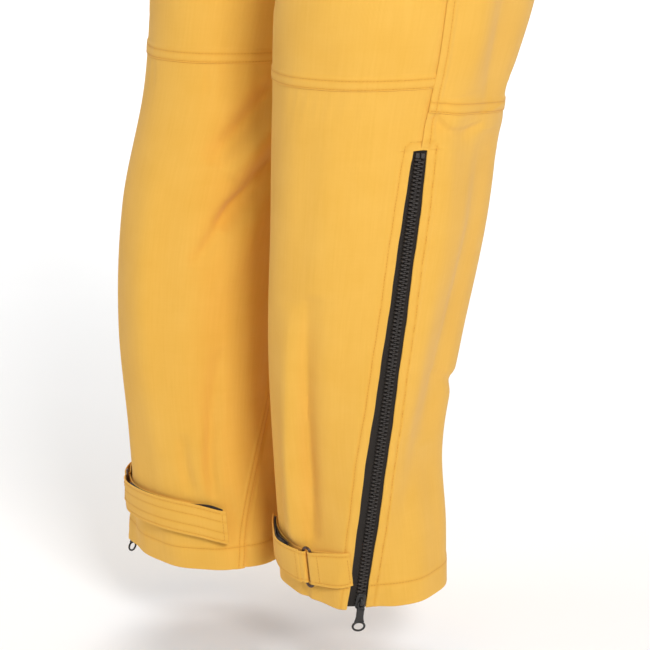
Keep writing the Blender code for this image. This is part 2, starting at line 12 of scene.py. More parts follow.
import bpy
import numpy as np
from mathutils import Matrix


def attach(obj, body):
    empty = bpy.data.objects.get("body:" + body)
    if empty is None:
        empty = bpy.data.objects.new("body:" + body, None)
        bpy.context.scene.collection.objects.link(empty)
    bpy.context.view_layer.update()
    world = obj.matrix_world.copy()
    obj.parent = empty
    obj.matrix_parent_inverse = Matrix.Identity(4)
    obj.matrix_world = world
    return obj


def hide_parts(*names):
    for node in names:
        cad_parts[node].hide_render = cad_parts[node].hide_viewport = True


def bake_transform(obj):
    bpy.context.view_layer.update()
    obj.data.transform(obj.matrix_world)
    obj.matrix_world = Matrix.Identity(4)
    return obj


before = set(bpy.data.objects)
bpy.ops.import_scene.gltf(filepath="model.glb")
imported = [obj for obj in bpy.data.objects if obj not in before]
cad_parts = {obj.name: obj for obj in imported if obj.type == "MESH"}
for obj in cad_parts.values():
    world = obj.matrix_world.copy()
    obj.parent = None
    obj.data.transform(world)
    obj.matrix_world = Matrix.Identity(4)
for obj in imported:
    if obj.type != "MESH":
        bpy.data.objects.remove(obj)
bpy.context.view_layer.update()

# %% [markdown]
# ## The camera
#
# The trousers are looked at from the wearer's left front, a little above the knee, with a long
# lens that keeps the two legs the same size. The camera looks along a line that is given by a turn
# and a tilt, because those two angles are what someone behind a camera would change.

# %% Camera
VIEW_TURN = math.radians(52)
VIEW_TILT = math.radians(17)
VIEW_DISTANCE = 2.0
LENS = 110
VIEW_CENTRE = np.array([0.0754, -0.0655, -0.7821])

backwards = np.array([math.sin(VIEW_TURN) * math.cos(VIEW_TILT),
                      -math.cos(VIEW_TURN) * math.cos(VIEW_TILT), math.sin(VIEW_TILT)])
camera = bpy.data.objects.new("camera", bpy.data.cameras.new("camera"))
camera.data.lens = LENS
camera.location = VIEW_CENTRE + VIEW_DISTANCE * backwards
camera.rotation_euler = (math.pi / 2 - VIEW_TILT, 0, VIEW_TURN)
bpy.context.scene.collection.objects.link(camera)
bpy.context.scene.camera = camera
print("camera at", np.round(camera.location, 3))

# %% [markdown]
# ## Meshes from grids
#
# Nearly every piece here is a grid of points, so the faces can be worked out from the grid's shape
# alone. A sheet of cloth is two grids with a rolled rim between them. A last test finds the volume
# that the faces close in, and turns them all round if it is negative, so faces always point out.


# %% Grids, sheets and tubes
def unit(vector):
    """A vector divided by its own length."""
    return vector / np.linalg.norm(vector, axis=-1, keepdims=True)


def quads(index, wrap_rows=False, wrap_columns=False):
    """The four-cornered faces of a grid of point numbers; wrapping joins its last line to its first."""
    if wrap_rows:
        index = np.vstack([index, index[:1]])
    if wrap_columns:
        index = np.hstack([index, index[:, :1]])
    corners = [index[:-1, :-1], index[:-1, 1:], index[1:, 1:], index[1:, :-1]]
    return np.stack(corners, -1).reshape(-1, 4)


def shell(outer, inner, roll=0.4):
    """Points and faces of a sheet: the outer grid, the inner grid and a rim whose middle line stands
    out from the edge by roll times the sheet's thickness."""
    rows, columns = outer.shape[:2]
    index = np.arange(rows * columns).reshape(rows, columns)
    rim = np.concatenate([index[0, :-1], index[:-1, -1], index[-1, :0:-1], index[:0:-1, 0]])
    inward = np.concatenate([index[1, :-1], index[:-1, -2], index[-2, :0:-1], index[:0:-1, 1]])
    flat, under = outer.reshape(-1, 3), inner.reshape(-1, 3)
    thick = np.linalg.norm(flat[rim] - under[rim], axis=1, keepdims=True)
    middle = (flat[rim] + under[rim]) / 2 + roll * thick * unit(flat[rim] - flat[inward])
    n = rows * columns
    roll_index = 2 * n + np.arange(len(rim))
    sides = [quads(np.stack([roll_index, rim]), wrap_columns=True),
             quads(np.stack([rim + n, roll_index]), wrap_columns=True)]
    faces = np.concatenate([quads(index), quads(index + n)[:, ::-1], *sides])
    return np.concatenate([flat, under, middle]), faces, rim


def outward(points, faces):
    """Faces turned so that the volume they close in, summed as wedges from the origin, is positive."""
    a, b, c, d = (points[faces[:, k]] for k in range(4))
    wedges = np.einsum("ij,ij->i", a, np.cross(b, c) + np.cross(c, d))
    return faces if wedges.sum() > 0 else faces[:, ::-1]


def put(name, points, faces, material, body, nodes=(), uv=None, seam=None):
    """Makes one finished piece from arrays. A face whose last two corners are one point is a triangle."""
    faces = outward(points, faces)
    mesh = bpy.data.meshes.new(name)
    keep = np.ones(faces.shape, bool)
    keep[:, 1:] = faces[:, 1:] != faces[:, :-1]
    keep[:, 0] = faces[:, 0] != faces[:, -1]
    counts = keep.sum(1)
    corners = faces[keep]
    mesh.vertices.add(len(points))
    mesh.vertices.foreach_set("co", points.astype(np.float32).ravel())
    mesh.loops.add(len(corners))
    mesh.loops.foreach_set("vertex_index", corners.astype(np.int32))
    mesh.polygons.add(len(faces))
    mesh.polygons.foreach_set("loop_start", np.concatenate([[0], counts.cumsum()[:-1]]).astype(np.int32))
    mesh.update(calc_edges=True)
    if uv is not None:
        layer = mesh.uv_layers.new(name="cloth")
        layer.data.foreach_set("uv", uv[corners].astype(np.float32).ravel())
    # seam is a painted shade mask for the creases beside the stitch lines.
    if seam is not None:
        mesh.attributes.new("seam", "FLOAT", "POINT").data.foreach_set("value", seam.astype(np.float32))
    mesh.shade_smooth()
    mesh.set_sharp_from_angle(angle=SHARP)
    mesh.materials.append(material)
    piece = bpy.data.objects.new(f"{name}_fine" if nodes else name, mesh)
    bpy.context.scene.collection.objects.link(piece)
    if nodes:
        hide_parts(*nodes)
    if body is not None:
        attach(piece, body)
    return piece


SHARP = math.radians(50)


def tube(centres, across, up, half_across, half_up, sides=10, closed=True):
    """A bar along a line of centres: an ellipse in the plane of the across and up directions at each."""
    angle = np.arange(sides) * 2 * math.pi / sides
    spokes = (half_across * np.cos(angle)[None, :, None] * across[:, None]
              + half_up * np.sin(angle)[None, :, None] * up[:, None])
    points = (centres[:, None] + spokes).reshape(-1, 3)
    index = np.arange(len(points)).reshape(-1, sides)
    faces = quads(index, wrap_rows=closed, wrap_columns=True)
    if closed:
        return points, faces
    turn_on, ends = np.roll(index, -1, 1), index.size + np.arange(2)
    caps = [np.stack([np.full(sides, ends[0]), turn_on[0], index[0], index[0]], -1),
            np.stack([np.full(sides, ends[1]), index[-1], turn_on[-1], turn_on[-1]], -1)]
    return np.concatenate([points, centres[[0, -1]]]), np.concatenate([faces, *caps])


def join(parts):
    """Several closed bodies as one set of points and faces."""
    starts = np.cumsum([0] + [len(points) for points, _ in parts[:-1]])
    points = np.concatenate([part[0] for part in parts])
    faces = np.concatenate([outward(part[0], part[1]) + start for part, start in zip(parts, starts)])
    return points, faces


# %% [markdown]
# ## Shader sums that read as sums
#
# A material is a small network of nodes. To keep the sums readable, one class wraps a socket and
# lets Python's own operators add the Math nodes, so that `1 - wear` or `weave * 0.5` says what it
# does. Every other node comes from one method that takes its type, its settings and its inputs.


# %% The socket class and the material recipe
class Wire:
    """One socket's value, with arithmetic that adds Math nodes."""

    def __init__(self, recipe, socket):
        self.recipe, self.socket = recipe, socket

    def maths(self, operation, first, second):
        """A new Math node on two values."""
        return self.recipe.node("ShaderNodeMath", {"operation": operation}, {0: first, 1: second})

    def __add__(self, other):
        return self.maths("ADD", self, other)

    def __sub__(self, other):
        return self.maths("SUBTRACT", self, other)

    def __rsub__(self, other):
        return self.maths("SUBTRACT", other, self)

    def __mul__(self, other):
        return self.maths("MULTIPLY", self, other)

    __radd__, __rmul__ = __add__, __mul__


class Recipe:
    """A material with one Principled shader, whose constants are set straight on its sockets."""

    def __init__(self, name, **constants):
        self.material = bpy.data.materials.new(name)
        self.material.use_nodes = True
        self.tree = self.material.node_tree
        self.shader = self.tree.nodes["Principled BSDF"]
        for socket, value in constants.items():
            self.shader.inputs[socket.replace("_", " ")].default_value = value

    def feed(self, socket, value):
        """Links a wire to a socket, or sets a constant on it."""
        if isinstance(value, Wire):
            self.tree.links.new(value.socket, socket)
        else:
            socket.default_value = value

    def node(self, kind, settings=None, inputs=None, output=0):
        """Any node, from its type, its settings and its inputs; the wire is one of its outputs."""
        made = self.tree.nodes.new(kind)
        for key, value in (settings or {}).items():
            setattr(made, key, value)
        for key, value in (inputs or {}).items():
            self.feed(made.inputs[key], value)
        return Wire(self, made.outputs[output])

    def blend(self, factor, first, second):
        """A colour that goes from first to second as factor goes from 0 to 1."""
        return self.node("ShaderNodeMix", {"data_type": "RGBA"}, {0: factor, 6: first, 7: second}, 2)

    def cloth_place(self, stretch=(1, 1, 1)):
        """Metres along and up the cloth, from the piece's own UV map, times a stretch."""
        place = self.node("ShaderNodeUVMap", {"uv_map": "cloth"})
        return self.node("ShaderNodeMapping", {"vector_type": "POINT"}, {0: place, 3: stretch})

    def object_place(self, stretch=(1, 1, 1)):
        """The piece's own coordinates in metres, times a stretch."""
        place = self.node("ShaderNodeTexCoord", output=3)
        return self.node("ShaderNodeMapping", {"vector_type": "POINT"}, {0: place, 3: stretch})

    def noise(self, place, scale, detail=3):
        """Soft noise from 0 to 1, with its features 1 / scale metres apart."""
        return self.node("ShaderNodeTexNoise", {}, {"Vector": place, "Scale": scale, "Detail": detail})

    def ripples(self, place, direction, pitch):
        """Even ridges a pitch apart in metres, from 0 to 1, across one direction of the cloth."""
        settings = {"wave_type": "BANDS", "bands_direction": direction, "wave_profile": "SIN"}
        return self.node("ShaderNodeTexWave", settings,
                         {"Vector": place, "Scale": math.pi / (10 * pitch)}, 1)

    def finish(self, colour, height=None, rough=None, depth=0.001, strength=0.5):
        """Connects colour, roughness and bump to the shader, and gives back the material."""
        self.feed(self.shader.inputs["Base Color"], colour)
        if rough is not None:
            self.feed(self.shader.inputs["Roughness"], rough)
        if height is not None:
            bump = self.node("ShaderNodeBump", {}, {"Strength": strength, "Distance": depth,
                                                    "Height": height})
            self.feed(self.shader.inputs["Normal"], bump)
        return self.material


# %% [markdown]
# ## Canvas
#
# The canvas is a plain weave of yellow yarn about half a millimetre thick. Real yarn is uneven, so
# the weave carries faint streaks along the warp and a slow mottle. Beside each row of stitches the
# cloth is creased, and the shade in that crease is painted into the colour: the pieces carry a
# `seam` value that darkens the canvas there as painted shade.

# %% Canvas and thread
CANVAS_LIGHT = (0.870, 0.500, 0.090, 1)
CANVAS_DEEP = (0.760, 0.395, 0.044, 1)
# Painted shade: the deeper orange painted into the creases beside stitch lines, and how strongly it is mixed
# in.
CANVAS_SEAM_SHADE = (0.720, 0.320, 0.026, 1)
YARN_PITCH = 0.0009
SEAM_SHADE_STRENGTH = 0.42


def canvas_material(name, light, deep):
    """Warp and weft ridges for bump; streaks and mottle for colour, and painted shade along the seams."""
    cloth = Recipe(name, Sheen_Weight=0.12, Sheen_Roughness=0.6, Specular_IOR_Level=0.22)
    place = cloth.cloth_place()
    warp = cloth.ripples(place, "X", YARN_PITCH)
    weft = cloth.ripples(place, "Y", YARN_PITCH * 1.15)
    streaks = cloth.noise(cloth.cloth_place((1, 0.03, 1)), 520, 2)
    slubs = cloth.noise(cloth.cloth_place((0.05, 1, 1)), 420, 2)
    mottle = cloth.noise(place, 22, 4)
    shade = streaks * 0.42 + slubs * 0.14 + mottle * 0.60 - 0.16
    # Painted shade: the seam attribute darkens the canvas towards the crease colour beside each stitch line.
    seam = cloth.node("ShaderNodeAttribute", {"attribute_name": "seam"}, {}, 2)
    body = cloth.blend(shade, light, deep)
    colour = cloth.blend(seam * SEAM_SHADE_STRENGTH, body, CANVAS_SEAM_SHADE)
    height = warp * 0.5 + weft * 0.5 + streaks * 0.8 + slubs * 0.3
    return cloth.finish(colour, height, 0.80 + mottle * 0.14, 0.00022, 0.55)


canvas = canvas_material("canvas", CANVAS_LIGHT, CANVAS_DEEP)

thread_recipe = Recipe("thread", Sheen_Weight=0.2, Specular_IOR_Level=0.3)
twist = thread_recipe.noise(thread_recipe.object_place(), 2400, 1)
thread = thread_recipe.finish(thread_recipe.blend(twist, (0.72, 0.34, 0.035, 1), (0.60, 0.24, 0.018, 1)),
                              twist, 0.6 + twist * 0.2, 0.0002)
print("materials:", canvas.name, thread.name)

# %% [markdown]
# ## Black parts
#
# The zip tape is woven in narrow ribs, its teeth are moulded plastic with a half-matt skin, and the
# slider and pull are metal under black enamel that has worn a little. The ring is a dark brown
# plastic, the hook and loop strips are a dense pile, and the waist snap is blackened brass.

# %% Tape, teeth, metal, ring, pile and snap
tape_recipe = Recipe("zip_tape", Sheen_Weight=0.15, Specular_IOR_Level=0.25)
tape_place = tape_recipe.cloth_place()
ribs = tape_recipe.ripples(tape_place, "X", 0.0011)
picks = tape_recipe.ripples(tape_place, "Y", 0.0008)
fuzz = tape_recipe.noise(tape_place, 900, 3)
zip_tape = tape_recipe.finish(
    tape_recipe.blend(ribs * 0.5 + fuzz * 0.5, (0.012, 0.009, 0.007, 1), (0.032, 0.025, 0.020, 1)),
    ribs * 0.7 + picks * 0.5, 0.72 + fuzz * 0.2, 0.0004, 0.7)


def hard_material(name, dark, light, scale, rough, **constants):
    """A hard skin: a fine grain in its colour and gloss, and a scuff where a coarser noise is high."""
    recipe = Recipe(name, **constants)
    grain = recipe.noise(recipe.object_place(), scale, 4)
    scuff = recipe.noise(recipe.object_place((1, 1, 0.4)), scale / 9, 2)
    colour = recipe.blend(grain * 0.6 + scuff * 0.4, dark, light)
    return recipe.finish(colour, grain, rough + scuff * 0.25, 0.0001, 0.35)


zip_teeth = hard_material("zip_teeth", (0.020, 0.016, 0.014, 1), (0.056, 0.047, 0.042, 1), 1500, 0.26,
                          Specular_IOR_Level=0.5)
zip_metal = hard_material("zip_metal", (0.012, 0.011, 0.011, 1), (0.035, 0.032, 0.030, 1), 900, 0.26,
                          Metallic=0.35, Coat_Weight=0.3)
ring_plastic = hard_material("ring_plastic", (0.045, 0.018, 0.010, 1), (0.085, 0.036, 0.020, 1), 700,
                             0.18, Coat_Weight=0.2)
snap_brass = hard_material("snap_brass", (0.030, 0.026, 0.022, 1), (0.11, 0.085, 0.055, 1), 1200, 0.25,
                           Metallic=0.9)
pile_recipe = Recipe("hook_and_loop", Sheen_Weight=0.3, Specular_IOR_Level=0.2)
tufts = pile_recipe.noise(pile_recipe.object_place(), 1300, 5)
hook_and_loop = pile_recipe.finish(
    pile_recipe.blend(tufts, (0.004, 0.003, 0.002, 1), (0.055, 0.040, 0.030, 1)), tufts, None, 0.0012, 1.0)
pile_recipe.shader.inputs["Roughness"].default_value = 0.95
print("hard finishes:", zip_teeth.name, zip_metal.name, ring_plastic.name, snap_brass.name)

# %% [markdown]
# ## The leg as a surface
#
# Each leg is a stack of ellipses, and a point on the cloth is a height above the hem, a turn round
# the ellipse (0 inside, 90 front, 180 outside) and a lift off it. These are the garment's own
# sizes, the same as the frame's, because cloth that is worked out from the same formula as the
# frame lies on it everywhere. Beside the zip the surface is pressed flat, as a stiff zip does.

# %% Garment sizes
WAIST_HEIGHT = 1.060
BAND_BOTTOM = 1.020
CROTCH = 0.79
ZIP_HEAD = 0.465
WINDOW_HEAD = 0.472
ZIP_HEAD_TURN = math.radians(165)
ZIP_FOOT_TURN = math.radians(136)
ZIP_FLAT_ANGLE = 0.35
FLY_FOOT, FLY_HEAD, FLY_RECESS = 0.870, 1.014, 0.003
SIDES = {"left": 1, "right": -1}

# Millimetres: height, half width, half depth, centre out, centre back on the left and the right.
SECTIONS = 0.001 * np.array([
    [0, 91, 85, 87, 2, -67], [60, 84, 90, 86, 1, -68], [140, 75, 94, 85, -4, -71],
    [250, 78, 109, 92, -1, -60], [380, 86, 122, 100, 10, -33], [500, 93, 127, 101, 21, 5],
    [600, 104, 141, 107, 35, 36], [700, 108, 143, 110, 48, 52], [780, 109, 144, 111, 57, 58],
    [840, 138, 148, 72, 58, 58], [900, 156, 147, 46, 53, 53], [970, 160, 138, 28, 40, 40],
    [1060, 160, 124, 4, 25, 25]])
INSEAM = ([0, 0.05, 0.12, 0.17, 0.30, 0.54, 0.70, 0.79], [16, 10, -5, -15, -16, -10, -4, 0])
OUTSEAM = ([ZIP_HEAD, 0.54, 0.62, 0.79, 0.95, WAIST_HEIGHT], [165, 166, 164, 170, 180, 180])


# %% The leg's surface
def through(stations, values, at):
    """Cubic pieces through the values; the slope at each station comes from its neighbours."""
    stations, values = np.asarray(stations, float), np.asarray(values, float)
    slopes = np.gradient(values, stations)
    i = np.clip(np.searchsorted(stations, at) - 1, 0, len(stations) - 2)
    step = stations[i + 1] - stations[i]
    t = (at - stations[i]) / step
    rise = (1 + 2 * t) * (1 - t) ** 2 * values[i] + t * t * (3 - 2 * t) * values[i + 1]
    return rise + t * (1 - t) * step * ((1 - t) * slopes[i] - t * slopes[i + 1])


def smooth(value, start, end):
    """0 before start, 1 after end, and an even S between."""
    t = np.clip((value - start) / (end - start), 0, 1)
    return t * t * (3 - 2 * t)


def bell(distance, width):
    """1 at no distance, falling off evenly either side."""
    return np.exp(-(distance / width) ** 2)


def section(side, height):
    """Half width, half depth, centre out and centre back of one leg's ellipse."""
    back = 4 if side > 0 else 5
    wide, deep, out, behind = (through(SECTIONS[:, 0], SECTIONS[:, k], height) for k in (1, 2, 3, back))
    return wide, deep, out, behind - SECTIONS[-1, 4]


def on_ellipse(side, height, turn):
    """x = out - wide cos(turn), y = back - deep sin(turn), and the ellipse's outward normal."""
    wide, deep, out, back = section(side, height)
    point = np.stack(np.broadcast_arrays(side * (out - wide * np.cos(turn)), back - deep * np.sin(turn),
                                         height - WAIST_HEIGHT), -1)
    normal = np.stack(np.broadcast_arrays(-side * np.cos(turn) / wide, -np.sin(turn) / deep,
                                          0 * height), -1)
    return point, unit(normal)


def arc_rate(side, height, turn):
    """Metres of cloth for each radian of turn."""
    wide, deep, _, _ = section(side, height)
    return np.hypot(wide * np.sin(turn), deep * np.cos(turn))


class Track:
    """A zip's straight line: its foot, its length, and the directions along, across and out."""

    def __init__(self, foot, head, out, side=1):
        self.foot, self.length = foot, float(np.linalg.norm(head - foot))
        self.along = unit(head - foot)
        self.out = unit(out - (out @ self.along) * self.along)
        self.across = side * np.cross(self.along, self.out)

    def at(self, across, along, out):
        """Points from distances across, along and out of the zip's line."""
        steps = np.stack(np.broadcast_arrays(across, along, out), -1)
        return self.foot + steps @ np.stack([self.across, self.along, self.out])


def leg_track(side):
    """The leg zip's line, from its foot to its head, facing out halfway up."""
    foot, _ = on_ellipse(side, 0.0, ZIP_FOOT_TURN)
    head, _ = on_ellipse(side, ZIP_HEAD, ZIP_HEAD_TURN)
    _, out = on_ellipse(side, ZIP_HEAD / 2, (ZIP_FOOT_TURN + ZIP_HEAD_TURN) / 2)
    return Track(foot, head, out, side)


TRACKS = {side: leg_track(side) for side in SIDES.values()}


def zip_turn(side, height, across):
    """Turn at which the cloth is a distance across from the zip's line, by five Newton steps."""
    height = np.minimum(np.asarray(height, float), ZIP_HEAD)
    track = TRACKS[side]
    wide, deep, _, _ = section(side, height)
    turn = np.full(height.shape, (ZIP_FOOT_TURN + ZIP_HEAD_TURN) / 2)
    for _ in range(5):
        point, _ = on_ellipse(side, height, turn)
        ahead = np.stack([side * wide * np.sin(turn), -deep * np.cos(turn), 0 * turn], -1)
        turn = turn + (across - (point - track.foot) @ track.across) / (ahead @ track.across)
    return turn


def outseam(side, height):
    """Turn of the outside seam: the zip's line, then the list above it."""
    height = np.asarray(height, float)
    above = np.radians(through(*OUTSEAM, np.maximum(height, ZIP_HEAD)))
    return np.where(height < ZIP_HEAD, zip_turn(side, height, 0.0), above)


def inseam(height):
    """Turn of the inside leg seam."""
    return np.radians(through(*INSEAM, np.minimum(height, CROTCH)))


def middle_turn(side, height, off_middle):
    """Turn at which the front of the section is off_middle from the middle plane."""
    wide, _, out, _ = section(side, height)
    return np.arccos(np.clip((out - off_middle) / wide, -1, 1))


def on_leg(side, height, turn, lift=0.0):
    """Point on the smooth leg, lifted off it, with the strip beside the zip pressed flat."""
    height, turn, lift = np.broadcast_arrays(np.asarray(height, float), turn, lift)
    point, normal = on_ellipse(side, height, turn)
    track = TRACKS[side]
    near = np.exp(-((turn - outseam(side, height)) / ZIP_FLAT_ANGLE) ** 4)
    near = (near * (1 - smooth(height, 0.48, 0.54)))[..., None]
    proud = ((point - track.foot) @ track.out)[..., None]
    normal = unit((1 - near) * normal + near * track.out)
    return point - near * proud * track.out + lift[..., None] * normal


print("leg zip tracks:", [round(track.length, 3) for track in TRACKS.values()], "m long")

# %% [markdown]
# ## Folds
#
# A worn canvas leg hangs in a few firm folds and many faint ones. Cloth simulation would make
# folds of its own, but these have to be where this garment has them: one deep pleat above the near
# ankle ring, slanting folds inside the far knee, and a dent under each back knee seam. So each
# fold is a ridge or furrow along a chain of points, a bell in section, and the sum lifts the cloth.
# The places are the garment's; the depths are chosen so that the folds read under a soft lamp.

# %% Fold shapes
UNROLL = 0.092


def crease(x, y, path, rise, left, right):
    """A ridge (a furrow if rise is negative) along a chain of straight runs: rise times a bell of
    the distance to the chain, with its own width to the left and right of the direction of travel,
    times the square root of a half sine along it, so that it dies out at both ends."""
    nearest, height = np.full(x.shape, np.inf), np.zeros(x.shape)
    runs = len(path) - 1
    for k in range(runs):
        start, ahead = path[k], path[k + 1] - path[k]
        share = np.clip(((x - start[0]) * ahead[0] + (y - start[1]) * ahead[1]) / (ahead @ ahead), 0, 1)
        off_x, off_y = x - start[0] - share * ahead[0], y - start[1] - share * ahead[1]
        distance = np.hypot(off_x, off_y)
        width = np.where(ahead[0] * off_y - ahead[1] * off_x > 0, left, right)
        fade = np.sqrt(np.sin(math.pi * (k + share) / runs).clip(0))
        closer = distance < nearest
        height = np.where(closer, bell(distance, width) * fade, height)
        nearest = np.minimum(nearest, distance)
    return rise * height


# Each fold: rise and its two widths in millimetres, then its points as (turn in degrees, height).
NEAR_FOLDS = [
    (9.0, 18, 7, [(92, .02), (93, .075), (97, .13), (99, .20), (101, .32)]),
    (-13.0, 6, 17, [(103, .02), (105, .078), (109, .134), (111, .20), (113, .33)]),
    (-2.6, 4, 6, [(100, .025), (98, .0), (97, -.02)]),
    (-4.6, 4, 8, [(169, .506), (172, .498), (177, .489), (188, .484), (202, .488)]),
    (2.0, 7, 6, [(173, .512), (182, .503), (197, .500)]),
    (3.2, 16, 14, [(178, .12), (183, .25), (186, .36), (184, .47)]),
    (-9.0, 15, 24, [(196, .16), (205, .28), (209, .39), (206, .48)]),
    (-4.5, 6, 10, [(196, .236), (214, .220), (236, .212), (255, .215)]),
    (-10.0, 14, 26, [(206, .50), (203, .55), (199, .60), (196, .66)]),
    (4.0, 16, 12, [(184, .52), (183, .57), (180, .64)]),
    (1.6, 14, 14, [(118, .33), (121, .42), (120, .50)]),
    (-1.6, 14, 14, [(104, .34), (107, .42), (109, .51)]),
]
FAR_FOLDS = [
    (-12.0, 13, 11, [(8, .515), (20, .499), (31, .463), (42, .432)]),
    (6.5, 9, 14, [(10, .485), (20, .450), (30, .418)]),
    (-10.0, 12, 10, [(2, .445), (12, .418), (24, .379), (29, .365)]),
    (-6.0, 7, 9, [(14, .405), (25, .388), (36, .346), (42, .33)]),
    (3.0, 12, 12, [(4, .39), (14, .35), (20, .30)]),
    (-5.5, 6, 9, [(30, .075), (31, .11), (27, .17), (22, .24)]),
    (2.6, 6, 7, [(38, .080), (37, .12), (33, .17)]),
    (-4.0, 5, 8, [(46, .085), (48, .115), (47, .15)]),
    (-2.2, 6, 12, [(14, .02), (20, .05), (22, .09)]),
    (1.8, 14, 16, [(70, .12), (74, .28), (72, .44)]),
    (-5.0, 12, 20, [(208, .14), (214, .27), (216, .40), (210, .48)]),
    (-3.2, 5, 8, [(170, .504), (178, .488), (196, .484)]),
]
BOTH_FOLDS = [
    (-5.0, 13, 16, [(225, .520), (262, .505), (300, .505), (335, .52)]),
    (-3.6, 10, 14, [(232, .455), (265, .447), (305, .455)]),
    (3.0, 10, 12, [(230, .482), (265, .474), (310, .480)]),
    (-2.6, 9, 13, [(245, .40), (285, .385), (325, .395)]),
    (-4.2, 10, 13, [(12, .775), (40, .792), (75, .815), (108, .828)]),
    (-3.0, 9, 12, [(8, .745), (38, .752), (72, .768)]),
    (-3.2, 9, 13, [(26, .825), (55, .850), (90, .868)]),
    (-5.5, 12, 18, [(215, .800), (255, .775), (300, .762), (342, .770)]),
    (-3.4, 12, 14, [(250, .730), (300, .712), (345, .725)]),
    (-3.0, 16, 18, [(60, .60), (66, .68), (70, .75)]),
    (2.4, 16, 16, [(112, .57), (114, .68), (112, .78)]),
    (-2.6, 14, 18, [(250, .86), (246, .93), (244, .99)]),
]
PUCKER_TURNS = [58, 66, 96, 102, 109, 116, 124, 133]
PUCKER_TURNS_FAR = [24, 31, 39, 46, 55, 96]


def puckers(turns):
    """Short shallow furrows that run down from the knee seam."""
    return [(-0.9, 3, 4, [(t, .533), (t - 1.5, .518), (t - 3, .500)]) for t in turns]


def in_place(folds):
    """Rise and widths in metres, points in metres on the unrolled cloth."""
    return [(0.001 * rise, 0.001 * left, 0.001 * right,
             np.array([(UNROLL * math.radians(turn), height) for turn, height in path]))
            for rise, left, right, path in folds]


FOLDS = {1: in_place(NEAR_FOLDS + BOTH_FOLDS + puckers(PUCKER_TURNS)),
         -1: in_place(FAR_FOLDS + BOTH_FOLDS + puckers(PUCKER_TURNS_FAR))}
chance = np.random.default_rng(11)
WAVES = [(chance.uniform(0.00018, 0.00042), chance.uniform(45, 140), chance.uniform(-28, 28),
          chance.uniform(0, 2 * math.pi)) for _ in range(9)]

# %% [markdown]
# ## The strap's line, and where folds stop
#
# The ankle strap holds the cloth flat against the leg, and so do the zip, the fly and the
# waistband. The folds are therefore faded out near each of them.

# %% Straps and the folds' limits
# Turns are in degrees. turns and middles give the strap's line, rows its extra rows of stitches as
# shares of its half width, and tilt how much more its upper edge stands off than its middle.
# stand_off holds bulges as (turn, width, lift), and peeks says where the hook strip shows above it.
STRAPS = {
    1: {"turns": [0, 47, 75, 101, 140], "middles": [0.050, 0.046, 0.042, 0.038, 0.047],
        "ring": 104.5, "sewn_end": 49, "loose_end": 47, "rows": (), "tilt": 0.35,
        "stand_off": [(82, 12, .0046)], "peeks": [(84, 5, .0034), (70, 9, .0012)]},
    -1: {"turns": [0, 25, 47, 75, 108, 140], "middles": [0.045, 0.050, 0.0585, 0.063, 0.063, 0.066],
         "ring": 121, "sewn_end": 32, "loose_end": 26, "rows": (-0.34, 0.34), "tilt": 0.15,
         "stand_off": [(24, 11, .0042), (106, 9, .0015)], "peeks": [(34, 9, .0040), (114, 12, .0036)]},
}
STRAP_WIDTH = 0.036
ZIP_MARGIN = 0.016


def strap_middle(side, degrees):
    """Height of the middle of the strap's band at a turn in degrees."""
    return through(STRAPS[side]["turns"], STRAPS[side]["middles"], degrees)


def folds(side, height, turn):
    """Lift of the cloth: the slow waves and the folds, faded where something holds the cloth down."""
    height, turn = np.broadcast_arrays(np.asarray(height, float), turn)
    x = UNROLL * turn
    lift = sum(size * np.sin(kx * x + ky * height + phase) for size, kx, ky, phase in WAVES)
    for rise, left, right, path in FOLDS[side]:
        lift = lift + crease(x, height, path, rise, left, right)
    seam = outseam(side, height)
    off_zip = np.abs(turn - seam) * arc_rate(side, height, seam)
    free = smooth(off_zip, ZIP_MARGIN, ZIP_MARGIN + 0.022)
    free = free + (1 - free) * smooth(height, ZIP_HEAD + 0.004, ZIP_HEAD + 0.03)
    degrees = np.degrees(turn)
    under = smooth(degrees, STRAPS[side]["sewn_end"] - 16, STRAPS[side]["sewn_end"] - 4)
    under = under * (1 - smooth(degrees, 150, 160))
    free = free * (1 - 0.94 * under * np.exp(-((height - strap_middle(side, degrees)) / 0.024) ** 4))
    from_middle = np.abs(on_ellipse(side, height, turn)[0][..., 0])
    hips = smooth(height, 0.80, 0.86)
    free = free * (1 - hips * (1 - smooth(from_middle, 0.045, 0.075)))
    return lift * free * (1 - smooth(height, 0.985, BAND_BOTTOM))


def cloth(side, height, turn, lift=0.0):
    """Point on the folded cloth, lifted off it."""
    return on_leg(side, height, turn, lift + folds(side, height, turn))


# %% [markdown]
# ## Thread
#
# A lock stitch shows as a row of short beads of thread, each about 3 mm long, that dip into the
# cloth at both ends. One bead is 14 points, and a whole line of them is one array sum: the bead's
# points times the line's own directions at each step.

# %% Stitches
STITCH_PITCH = 0.0033
THREAD_HALF = 0.00032
BEAD_RINGS = np.array([[-0.36, 0.8], [0, 1.0], [0.36, 0.8]])


def bead():
    """Three four-point rings and two sunk ends: points along, across and up, and their faces."""
    angle = np.arange(4) * math.pi / 2
    rings = [[x * STITCH_PITCH, s * THREAD_HALF * math.cos(a), s * THREAD_HALF * (0.8 * math.sin(a) + 0.3)]
             for x, s in BEAD_RINGS for a in angle]
    ends = [[-0.47 * STITCH_PITCH, 0, -THREAD_HALF], [0.47 * STITCH_PITCH, 0, -THREAD_HALF]]
    sides = quads(np.arange(12).reshape(3, 4), wrap_columns=True).tolist()
    caps = [[12, (k + 1) % 4, k, k] for k in range(4)] + [[13, 8 + k, 8 + (k + 1) % 4, 8 + (k + 1) % 4]
                                                        for k in range(4)]
    return np.array(rings + ends), np.array(sides + caps)


BEAD_POINTS, BEAD_FACES = bead()


